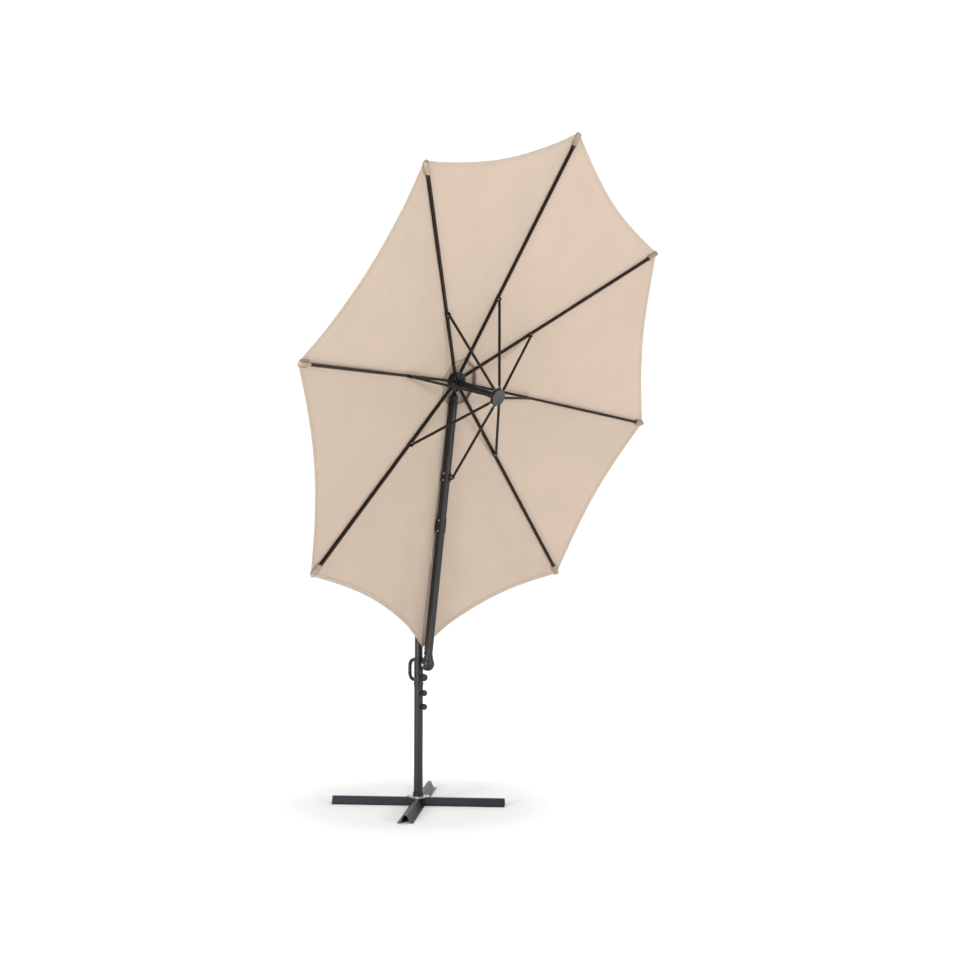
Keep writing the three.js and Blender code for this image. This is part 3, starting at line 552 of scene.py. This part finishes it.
# ---- ribs, struts, hub and runner -------------------------------------------------------------

def in_plane(i, joint):
    """A joint's place in rib i's plane, as [radius, 0, z] in millimetres."""
    return np.array(spoke(i).inverted() @ pos(joint)) / MM


CHEEK = [(-15, 8.8), (15, 8.8), (12, -12), (7, -22), (-7, -22), (-12, -12)]
for i in thin_ribs:
    body = f"rib_body_{i}"
    at_bracket = rib_frame(i) @ shift(RIB_BRACKET, 0, 0)
    saddle = joined(prism(CHEEK, 6.6, 8.1), prism(CHEEK, -8.1, -6.6),
                    moved(along_x([(x, rounded(16.2, 1.3, 0.5)) for x in (-15, 15)]), shift(0, 0, 8.2)))
    piece(f"rib_saddle_{i}", placed(saddle, at_bracket), body, nylon, 0.5)
    piece(f"rib_rivet_{i}", placed(rivet_pair(0, -STRUT_DROP, 8.2, 4), at_bracket), body, steel)
    sleeve = along_x([(x, rounded(w, w + 2, 3.2)) for x, w in
                      ((1362, 14.4), (1363, 15.4), (1378, 15.4), (1380, 14.4))])
    tip = along_x([(x, rounded(w, w + 2, 3)) for x, w in ((1431, 13.4), (1436, 13.4), (1439, 12), (1440, 9))])
    piece(f"rib_ferrule_{i}", placed(joined(sleeve, tip), rib_frame(i)), body, nylon)

for i in range(1, 9):
    start = in_plane(i, f"strut_{i}_fold")
    end = np.array([PIVOT_R, 0, RUNNER_Z])
    length = float(np.linalg.norm(end - start))
    tilt = atan2(start[2] - end[2], end[0] - start[0])
    eye = [(length - 9, 9.4, 5.6), (length - 6.5, 3.2, 9.5), (length - 4, 3.0, 11.6), (length, 3.0, 12.6),
           (length + 3, 3.0, 11.2), (length + 5.2, 3.0, 7.2), (length + 6.2, 2.6, 2.4)]
    wide, deep = (14, 10) if i == ARM_RIB else (11, 11)
    bar = [(-6.2, 7.6, 4.2), (-4.2, wide - 0.8, deep - 1.4), (0, wide, deep), (9, wide, deep), (16, 14, 12.4),
           (length - 18, 14, 12.4), (length - 13, 13.4, 9.6)]
    shape = along_x([(x, rounded(w, h, 0.34 * min(w, h))) for x, w, h in bar + eye])
    strut_frame = spoke(i) @ shift(*start) @ turn(tilt, "Y")
    shape = placed(shape, strut_frame)
    made = piece(f"strut_tube_{i}", shape, f"strut_body_{i}", rib_paint, angle=40)
    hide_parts(f"strut_{i}")
    ear = [(37, -10.5), (43, -11.5), (51, -7.5), (56, -4), (57.5, 0), (56, 4), (51, 7.5), (43, 8), (37, 8)]
    lugs = joined(prism(ear, 2.0, 4.4), prism(ear, -4.4, -2.0))
    piece(f"runner_lugs_{i}", placed(lugs, spoke(i) @ shift(0, 0, RUNNER_Z)), "runner", nylon, 0.5)
    pin = rivet_pair(PIVOT_R, RUNNER_Z, 4.5, 3)
    piece(f"runner_rivet_{i}", placed(pin, spoke(i)), "runner", steel)

foot = RUNNER_Z - 12.8
RIM = RUNNER_R + 2.2
cap_profile = [(0, foot), (RIM, foot), (RIM, foot - 3.4), (RIM - 0.6, foot - 5.2),
               (RIM - 2.4, foot - 6.8), (RIM - 5.2, foot - 7.6), (33, foot - 7.9), (31.6, foot - 7.2),
               (30.6, foot - 6.0), (12.4, foot - 5.6), (11.6, foot - 6.6), (10.2, foot - 7.4),
               (7.0, foot - 7.6), (5.6, foot - 7.0), (4.8, foot - 5.4), (0, foot - 5.2)]
cap_shape = placed(lathe(cap_profile, 96), CANOPY)
runner_cap = piece("runner_end_cap", cap_shape, "runner", grey_nylon, angle=50)
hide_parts("runner_cap")
cone = [(17.8, -296), (24, -296), (24, -290), (22.8, -284), (20.2, -266), (19.4, -262), (17.8, -262)]
angle = np.linspace(0, 2 * pi, 64, endpoint=False)
rings = [[(r * cos(a), r * sin(a), z) for r, z in cone] for a in angle]
rings.append(rings[0])
piece("runner_neck", placed(loft(rings, caps=False), CANOPY), "runner", nylon, 0.4)
heads = [moved(screw_head(3.0, 1.2), turn((k + 0.5) * pi / 4, "Z") @ shift(44, 0, -15) @ turn(pi, "X"))
         for k in range(8)]
piece("hub_screws", placed(joined(*heads), CANOPY), "hub", nylon)
dome = [(0, 15.3), (6, 15.3), (6, CAP_TOP + 2.5), (33, CAP_TOP + 1.6), (34, CAP_TOP + 2.4),
        (34, CAP_TOP + 4.6), (32.4, CAP_TOP + 6.4), (27, CAP_TOP + 9.6), (24, CAP_TOP + 12.6),
        (21, CAP_TOP + 13.6), (17, CAP_TOP + 14.0), (14.6, CAP_TOP + 15.2), (12, CAP_TOP + 17.4),
        (6, CAP_TOP + 18.7), (0, CAP_TOP + 19)]
finial = piece("hub_cap_turned", placed(lathe(dome, 96), CANOPY), "hub", nylon, angle=40)
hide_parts("hub_cap")


# ---- canopy cloth: rib i's section is (share from vent to hem, angle off the rib) --------------

side = np.concatenate([[0, 1.2], np.linspace(1.2, 22.5, 16)[1:]])
OFFS = np.radians(np.concatenate([-side[:0:-1], side]))
COLUMNS = len(OFFS) - 1
TIP_R = REACH * cos(DROOP)


def bow(off):
    return 1 - (1 - np.abs(off) / HALF) ** 2


def straight(r, off):
    """A straight side of the octagon as a distance from the axis."""
    return r * cos(HALF) / np.cos(HALF - np.abs(off))


def hem_r(off, i=0):
    corner = ARM_CORNER_REACH * np.maximum(0, 1 - np.abs(off) / radians(7.5)) ** 1.15 if i == ARM_RIB else 0
    return straight(TIP_R, off) - SCALLOP * bow(off) + corner


def ridge(i, r):
    lift = (ARM_LIFT_IN + (ARM_LIFT_OUT - ARM_LIFT_IN) * r / REACH) if (i - 1) % 8 + 1 == ARM_RIB else 0
    return LIFT - (r - HINGE_R) * tan(RIB_DROOP) + lift


def height(i, r, off):
    """The cloth's height: flat between two ribs, less a small sag."""
    apart = np.abs(off)
    across = 0.5 * (1 - np.tan(HALF - apart) / tan(HALF))
    reach = r * np.cos(HALF - apart) / cos(HALF)
    neighbour = np.where(off > 0, ridge(i + 1, reach), ridge(i - 1, reach))
    level = (1 - across) * ridge(i, reach) + across * neighbour
    return level - SAG * np.sin(pi * np.minimum(1, r / REACH) ** 0.8) * np.sin(pi * across)


def section_grid(i):
    shares, offs = np.meshgrid(np.linspace(0, 1, ROWS + 1), OFFS, indexing="ij")
    inner = straight(VENT_R, offs)
    r = inner + (hem_r(offs, i) - inner) * shares
    return np.stack([r * np.cos(offs), r * np.sin(offs), height(i, r, offs) + 0.5], -1)


def to_world(points, matrix):
    m = np.array(matrix)
    return points * MM @ m[:3, :3].T + m[:3, 3]


start_grids = [to_world(section_grid(i), spoke(i)) for i in range(1, 9)]
ring_grid = np.concatenate([g[:, :-1] for g in start_grids], axis=1)


def tightened(grid):
    """The canopy, moved as a cloth simulation moves it, but by MOST_MOVED at most.

    The cloth is held on the ribs and the vent, shrinks a little and hangs under gravity.
    """
    rows, around = grid.shape[:2]
    index = np.arange(rows * around).reshape(rows, around)
    following = np.roll(index, -1, axis=1)
    corners = (index[:-1], index[1:], following[1:], following[:-1])
    faces = np.stack(corners, -1).reshape(-1, 4).tolist()
    mesh = bpy.data.meshes.new("slack")
    mesh.from_pydata(grid.reshape(-1, 3).tolist(), [], faces)
    slack = bpy.data.objects.new("slack", mesh)
    scene.collection.objects.link(slack)
    group = slack.vertex_groups.new(name="held")
    held = np.concatenate([index[:, COLUMNS // 2::COLUMNS].ravel(), index[0]])
    group.add([int(k) for k in held], 1.0, "REPLACE")
    sim = slack.modifiers.new("cloth", "CLOTH")
    s = sim.settings
    s.quality = 6
    s.mass = 0.25
    s.tension_stiffness = s.compression_stiffness = 25
    s.shear_stiffness = 8
    s.bending_stiffness = 0.6
    s.tension_damping = s.compression_damping = s.shear_damping = 12
    s.air_damping = 3
    s.shrink_min = 0.004
    s.vertex_group_mass = "held"
    sim.point_cache.frame_start = 1
    sim.point_cache.frame_end = SIMULATED_FRAMES
    for k in range(1, SIMULATED_FRAMES + 1):
        scene.frame_set(k)
        bpy.context.view_layer.update()
    result = slack.evaluated_get(bpy.context.evaluated_depsgraph_get())
    moved_points = np.empty(rows * around * 3)
    result.data.vertices.foreach_get("co", moved_points)
    scene.frame_set(1)
    bpy.data.objects.remove(slack)
    by = moved_points.reshape(grid.shape) - grid
    far = np.linalg.norm(by, axis=-1, keepdims=True)
    print("cloth moved by", round(float(far.max()) / MM, 2), "mm at most")
    return grid + by * np.minimum(1, MOST_MOVED * MM / np.maximum(far, 1e-9))


ring_grid = tightened(ring_grid)


def wrapped(grid, pad):
    return np.concatenate([grid[:, -pad:], grid, grid[:, :pad]], axis=1)


wide = wrapped(ring_grid, 1)
down = np.gradient(wide, axis=0)[:, 1:-1]
over = (wide[:, 2:] - wide[:, :-2])
ring_normals = np.cross(down, over)
ring_normals /= np.linalg.norm(ring_normals, axis=-1, keepdims=True)


def cut_out(grid, i):
    """Section i of a ring grid, with the column it shares with the next."""
    return np.take(grid, range((i - 1) * COLUMNS, i * COLUMNS + 1), axis=1, mode="wrap")


GRIDS = {i: cut_out(ring_grid, i) for i in range(1, 9)}
NORMALS = {i: cut_out(ring_normals, i) for i in range(1, 9)}


def on_cloth(i, x, y, h):
    """Points h millimetres above the cloth of section i at (x along the rib, y across), and normals there."""
    x, y, h = np.broadcast_arrays(np.asarray(x, float), np.asarray(y, float), np.asarray(h, float))
    off = np.arctan2(y, x)
    inner = straight(VENT_R, off)
    a = (np.hypot(x, y) - inner) / (hem_r(off, i) - inner) * ROWS
    b = np.interp(off, OFFS, np.arange(COLUMNS + 1))
    a0 = np.clip(np.floor(a), 0, ROWS - 1).astype(int)
    b0 = np.clip(np.floor(b), 0, COLUMNS - 1).astype(int)
    p, q = (a - a0)[..., None], (b - b0)[..., None]

    def between(grid, p):
        low = grid[a0, b0] * (1 - q) + grid[a0, b0 + 1] * q
        high = grid[a0 + 1, b0] * (1 - q) + grid[a0 + 1, b0 + 1] * q
        return low * (1 - p) + high * p

    normal = between(NORMALS[i], np.clip(p, 0, 1))
    normal /= np.linalg.norm(normal, axis=-1, keepdims=True)
    return between(GRIDS[i], p) + normal * h[..., None] * MM, normal


def slab(top, under, keep=None):
    """A closed sheet between two grids of points; keep says which of its cells there are."""
    m, n = top.shape[:2]
    keep = np.ones((m - 1, n - 1), bool) if keep is None else keep
    up = np.arange(m * n).reshape(m, n)
    low = up + m * n
    faces = []
    there = np.zeros((m + 1, n + 1), bool)
    there[1:-1, 1:-1] = keep
    for a in range(m - 1):
        for b in range(n - 1):
            if not keep[a, b]:
                continue
            faces.append((up[a, b], up[a + 1, b], up[a + 1, b + 1], up[a, b + 1]))
            faces.append((low[a, b], low[a, b + 1], low[a + 1, b + 1], low[a + 1, b]))
            if not there[a, b + 1]:
                faces.append((up[a, b], up[a, b + 1], low[a, b + 1], low[a, b]))
            if not there[a + 2, b + 1]:
                faces.append((up[a + 1, b + 1], up[a + 1, b], low[a + 1, b], low[a + 1, b + 1]))
            if not there[a + 1, b]:
                faces.append((up[a + 1, b], up[a, b], low[a, b], low[a + 1, b]))
            if not there[a + 1, b + 2]:
                faces.append((up[a, b + 1], up[a + 1, b + 1], low[a + 1, b + 1], low[a, b + 1]))
    points = np.concatenate([top.reshape(-1, 3), under.reshape(-1, 3)])
    return points, [tuple(int(k) for k in f) for f in faces]


def laid(i, x, y, low, high):
    """A band of cloth between two heights over section i, and its UVs in metres."""
    x, y, low, high = np.broadcast_arrays(*(np.asarray(v, float) for v in (x, y, low, high)))
    uv = np.stack([y, x], -1).reshape(-1, 2) * MM
    return slab(on_cloth(i, x, y, high)[0], on_cloth(i, x, y, low)[0]), np.concatenate([uv, uv])


def both(*bands):
    """Several bands as one shape and one list of UVs."""
    return joined(*[band[0] for band in bands]), np.concatenate([band[1] for band in bands])


def stitched(i, x, y, h, upward, length=3.4, wide=0.75, tall=0.45):
    """Grain-shaped stitches along a line over section i."""
    points, normals = on_cloth(i, x, y, h)
    run = np.concatenate([[0], np.cumsum(np.linalg.norm(np.diff(points, axis=0), axis=1))]) / MM
    begin = np.arange(THREAD, run[-1] - THREAD, THREAD)
    at = [np.stack([np.interp(begin + s, run, points[:, k]) for k in range(3)], 1)
          for s in (0, length / 2, length)]
    normal = np.stack([np.interp(begin, run, normals[:, k]) for k in range(3)], 1) * (1 if upward else -1)
    across = np.cross(normal, at[2] - at[0])
    across *= wide / 2 * MM / np.linalg.norm(across, axis=1)[:, None]
    raised = at[1] + normal * tall * MM
    grains = np.stack([at[0], at[2], at[1] + across, at[1] - across, raised], 1).reshape(-1, 3)
    faces = [(5 * k + a, 5 * k + b, 5 * k + c) for k in range(len(begin))
             for a, b, c in ((0, 3, 4), (0, 4, 2), (1, 4, 3), (1, 2, 4), (0, 2, 3), (1, 3, 2))]
    return grains, faces


def flattened(made, i):
    """A soft piece of section i, given a mesh of its own."""
    anchor = tuple(spoke(i).translation)
    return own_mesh(made)


def soft(name, band, i, material):
    """A soft piece of section i, from a (shape, UVs) band."""
    return flattened(piece(name, band[0], rib_body(i), material, uv=band[1], angle=60), i)


THICK = 0.35
edge_offs = np.radians(np.linspace(-22.5, 22.5, 65))
line = np.linspace(0, 1, 60)


def hem_band(i):
    """The folded hem on the underside, its raised fold, and the rolled edge."""
    into = np.array([24.5, 23.5, 12.0, 2.0, 0.4])[:, None]
    r = hem_r(edge_offs, i)[None, :] - into
    depth = np.array([0.9, 1.35, 1.2, 1.3, 1.0])[:, None]
    under = laid(i, r * np.cos(edge_offs), r * np.sin(edge_offs), -depth, -THICK)
    turns = np.linspace(0, 2 * pi, 9)[:-1]
    rings = []
    for k, off in enumerate(edge_offs):
        rim = hem_r(off, i) - 0.2 + 1.15 * np.cos(turns)
        rings.append(on_cloth(i, rim * cos(off), rim * sin(off), -0.45 + 1.1 * np.sin(turns))[0])
    rolled = loft(rings)
    along = np.repeat(hem_r(edge_offs) * np.sin(edge_offs), len(turns))
    uv = np.stack([along, np.tile(turns * 1.1, len(edge_offs))], -1) * MM
    return both(under, (rolled, uv))


def seam_band(i):
    """The felled seam over rib i, on top and below the cloth."""
    x = (VENT_R + 4 + (TIP_R - VENT_R - 14) * line)[:, None]
    rise = np.array([0.5, 0.95, 1.05, 0.95, 0.5])[None, :]
    top = laid(i, x, np.array([-6.5, -6.0, 0, 6.0, 6.5])[None, :], THICK, rise)
    x = (VENT_R + 8 + (TIP_R - VENT_R - 82) * line)[:, None]
    under = laid(i, x, np.array([-15.5, -15, -13, -12.4, 12.4, 13, 15, 15.5])[None, :],
                 -np.array([0.6, 1.7, 1.7, 1.0, 1.0, 1.7, 1.7, 0.6])[None, :], -THICK)
    return both(top, under)


def vent_band(i):
    """The binding round the vent's edge, folded over it; its dark reddish colour is painted shade of the gap
    at the vent.
    """
    offs = np.radians(np.linspace(-22.5, 22.5, 21))[None, :]
    r = straight(VENT_R, offs) + np.array([-1.2, -0.4, 2.5, 5.6, 6])[:, None]
    x, y = r * np.cos(offs), r * np.sin(offs)
    profile = np.array([0.2, 1.0, 1.1, 1.0, 0.4])[:, None]
    return both(laid(i, x, y, 0.1, profile + 0.2), laid(i, x, y, -profile - 0.2, -0.1))


def pocket_band(i):
    """The sleeve under the cloth's corner that takes the rib's end, closed at the tip."""
    rise = np.array([0, 0.03, 0.06, 0.2, 0.45, 0.7, 0.86, 0.94, 0.97, 0.985, 1.0])
    x = (TIP_R - 66 + 66 * rise)[:, None]
    across = np.linspace(-1, 1, 33)[None, :]
    width = (22 - 4.5 * rise ** 3 - 3 * rise ** 20)[:, None]
    belly = 1 / (1 + np.exp((np.abs(across) - 0.52) * 15))
    belly = belly - belly[:, :1]
    deep = (22.5 * np.sqrt(np.maximum(0, 1 - rise ** 26)))[:, None]
    inside = -0.45 - deep * belly
    lip = np.where(rise < 0.05, 1.2, 0.0)[:, None]
    flap = np.where(np.abs(across) > 0.86, 0.7, 0.0)
    return laid(i, x, width * across, inside - 1.2 - lip - flap, inside)


def pocket_stitches(i):
    """Rows of dark stitches along the pocket's two sides, and a row across its closed tip, that hold it to
    the cloth.
    """
    x = TIP_R - 64 + 60 * line
    edge = 20.4 - 4 * line ** 3
    rows = [stitched(i, x, s * edge, -2.5, False, wide=2.0, tall=0.9) for s in (-1, 1)]
    y = 2 * line - 1
    rows.append(stitched(i, np.full(60, TIP_R - 4.5), 15.5 * y, -3.0, False, wide=1.6, tall=0.9))
    return joined(*rows)


def slit_band():
    """The bound slit in the arm's section for the stay's ear."""
    shares = np.linspace(0.455, 0.665, 24)
    bands = []
    for s in (-1, 1):
        edge = s * radians(1.2)
        inner = straight(VENT_R, edge)
        r = (inner + (hem_r(edge, ARM_RIB) - inner) * shares)[:, None]
        x, y = r * cos(edge), r * sin(edge) + s * np.array([-0.8, 0, 5, 9])[None, :]
        if s < 0:
            x, y = np.broadcast_arrays(x, y)
            x, y = x[:, ::-1], y[:, ::-1]
        bands += [laid(ARM_RIB, x, y, THICK, 1.1), laid(ARM_RIB, x, y, -1.1, -THICK)]
    return both(*bands)


def section_stitches(i):
    """The rows of stitches in section i's hem, seam and vent binding."""
    rows = []
    for into in (3.5, 21.5):
        r = hem_r(edge_offs, i) - into
        x, y = r * np.cos(edge_offs), r * np.sin(edge_offs)
        rows += [stitched(i, x, y, THICK, True), stitched(i, x, y, -1.2, False)]
    x = VENT_R + 14 + (TIP_R - VENT_R - 40) * line
    rows += [stitched(i, x, np.full(60, y), 0.95, True) for y in (-4.5, 4.5)]
    x = VENT_R + 14 + (TIP_R - VENT_R - 92) * line
    rows += [stitched(i, x, np.full(60, y), -1.0, False) for y in (-11.2, 11.2)]
    offs = np.radians(np.linspace(-22.2, 22.2, 31))
    r = straight(VENT_R, offs) + 9.5
    for h, upward in ((1.2, True), (-1.2, False)):
        rows.append(stitched(i, r * np.cos(offs), r * np.sin(offs), h, upward))
    return joined(*rows)


for i in range(1, 9):
    top = GRIDS[i] + NORMALS[i] * THICK * MM
    under = GRIDS[i] - NORMALS[i] * THICK * MM
    keep = np.ones((ROWS, COLUMNS), bool)
    if i == ARM_RIB:
        keep[23:33, COLUMNS // 2 - 1:COLUMNS // 2 + 1] = False
    local = section_grid(i)
    uv = np.stack([local[..., 1], local[..., 0]], -1).reshape(-1, 2) * MM
    facing = np.concatenate([NORMALS[i].reshape(-1, 3), -NORMALS[i].reshape(-1, 3)])
    panel = piece(f"canopy_panel_{i}", slab(top, under, keep), rib_body(i), cloth,
                  uv=np.concatenate([uv, uv]), normals=facing)
    flattened(panel, i)
    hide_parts(f"canopy_section_{i}")
    hem = soft(f"canopy_hem_{i}", hem_band(i), i, hemmed)
    seam = soft(f"canopy_seam_{i}", seam_band(i), i, seamed)
    # the vent binding's dark colour is painted shade
    vent = soft(f"canopy_vent_binding_{i}", vent_band(i), i, binding)
    sewing = flattened(piece(f"canopy_stitches_{i}", section_stitches(i), rib_body(i), thread), i)
    if i == ARM_RIB:
        soft("canopy_slit_binding", slit_band(), i, hemmed)
    else:
        shape, uv = pocket_band(i)
        # the pocket's webbing colour carries painted shade
        piece(f"canopy_pocket_{i}", shape, rib_body(i), webbing_painted_shade, uv=uv, angle=60)
        sewn = pocket_stitches(i)
        piece(f"canopy_pocket_stitches_{i}", sewn, rib_body(i), thread_dark)


# ---- tab from the arm's corner of the cloth to the arm ----------------------------------------

corner = np.array(ARM.inverted() @ Vector(on_cloth(ARM_RIB, TIP_R + 16, 0, -1)[0])) / MM
outline = rounded(26, 1.6, 0.7)
ends = [(corner[0] - 1, corner[2]), (corner[0] * 0.7 - ARM_X * 0.3, corner[2] - 2),
        (-ARM_X - 1.2, corner[2] + 2)]
tab = loft([[(x, y, z + t) for y, t in outline] for x, z in ends])
# the tab shares the webbing colour, darkened as painted shade
piece("canopy_corner_tab", placed(tab, ARM), "arm", webbing_painted_shade, 0.3,
      uv=np.stack([tab[0][:, 1], tab[0][:, 0]], -1) * MM)


# ---- vent cap --------------------------------------------------------------------------------

def cap_height(i, off, s):
    edge = height(i, straight(CAP_R, off), off) + 5 + 24 * bow(off)
    return CAP_TOP + (edge - CAP_TOP) * s ** 1.3


def cap_sheet(i, s, offs, low, high, inner=12.0):
    """A band of the cap over rib i's eighth, between two heights above its own surface."""
    s, offs, low, high = np.broadcast_arrays(*(np.asarray(v, float) for v in (s, offs, low, high)))
    r = inner + (straight(CAP_R, offs) - inner) * s
    base = np.stack([r * np.cos(offs), r * np.sin(offs), cap_height(i, offs, s)], -1)
    up, down = base.copy(), base.copy()
    up[..., 2] += high
    down[..., 2] += low
    uv = np.stack([base[..., 1], base[..., 0]], -1).reshape(-1, 2) * MM
    return slab(to_world(up, spoke(i)), to_world(down, spoke(i))), np.concatenate([uv, uv])


cap_offs = np.radians(np.linspace(-22.5, 22.5, 25))[None, :]
for i in range(1, 9):
    from_hub = np.linspace(0.12, 1, 22)[:, None]
    cap = soft(f"vent_cap_{i}", cap_sheet(i, from_hub, cap_offs, 0.1, 0.9), i, cloth)
    rim = np.array([0.925, 0.93, 0.96, 0.995, 1.003])[:, None]
    low = np.array([-0.2, -0.7, -0.7, -0.6, 0.2])[:, None]
    high = np.array([0.1, 0.1, 0.1, 0.5, 0.9])[:, None]
    lip = soft(f"vent_cap_hem_{i}", cap_sheet(i, rim, cap_offs, low, high), i, hemmed)
    rib_line = cap_sheet(i, np.linspace(0.2, 0.98, 22)[:, None], np.radians([-1.9, -1.7, 1.7, 1.9])[None, :],
                         0.8, np.array([1.0, 1.5, 1.5, 1.0])[None, :])
    fold = soft(f"vent_cap_seam_{i}", rib_line, i, seamed)
crowns = [cap_sheet(i, np.linspace(0, 0.25, 8)[:, None], cap_offs, 1.0, 1.7) for i in range(1, 9)]
crown = both(*crowns)
patch = piece("vent_cap_crown", crown[0], "hub", hemmed, uv=crown[1], angle=60)
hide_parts("vent_cap")


# ---- floor -------------------------------------------------------------------------------------

wide = 14.0
mesh = bpy.data.meshes.new("floor")
mesh.from_pydata([(-wide, -wide, 0), (wide, -wide, 0), (wide, wide, 0), (-wide, wide, 0)], [], [(0, 1, 2, 3)])
mesh.materials.append(floor_finish)
floor = bpy.data.objects.new("floor", mesh)
scene.collection.objects.link(floor)
floor.location.z = -0.0005
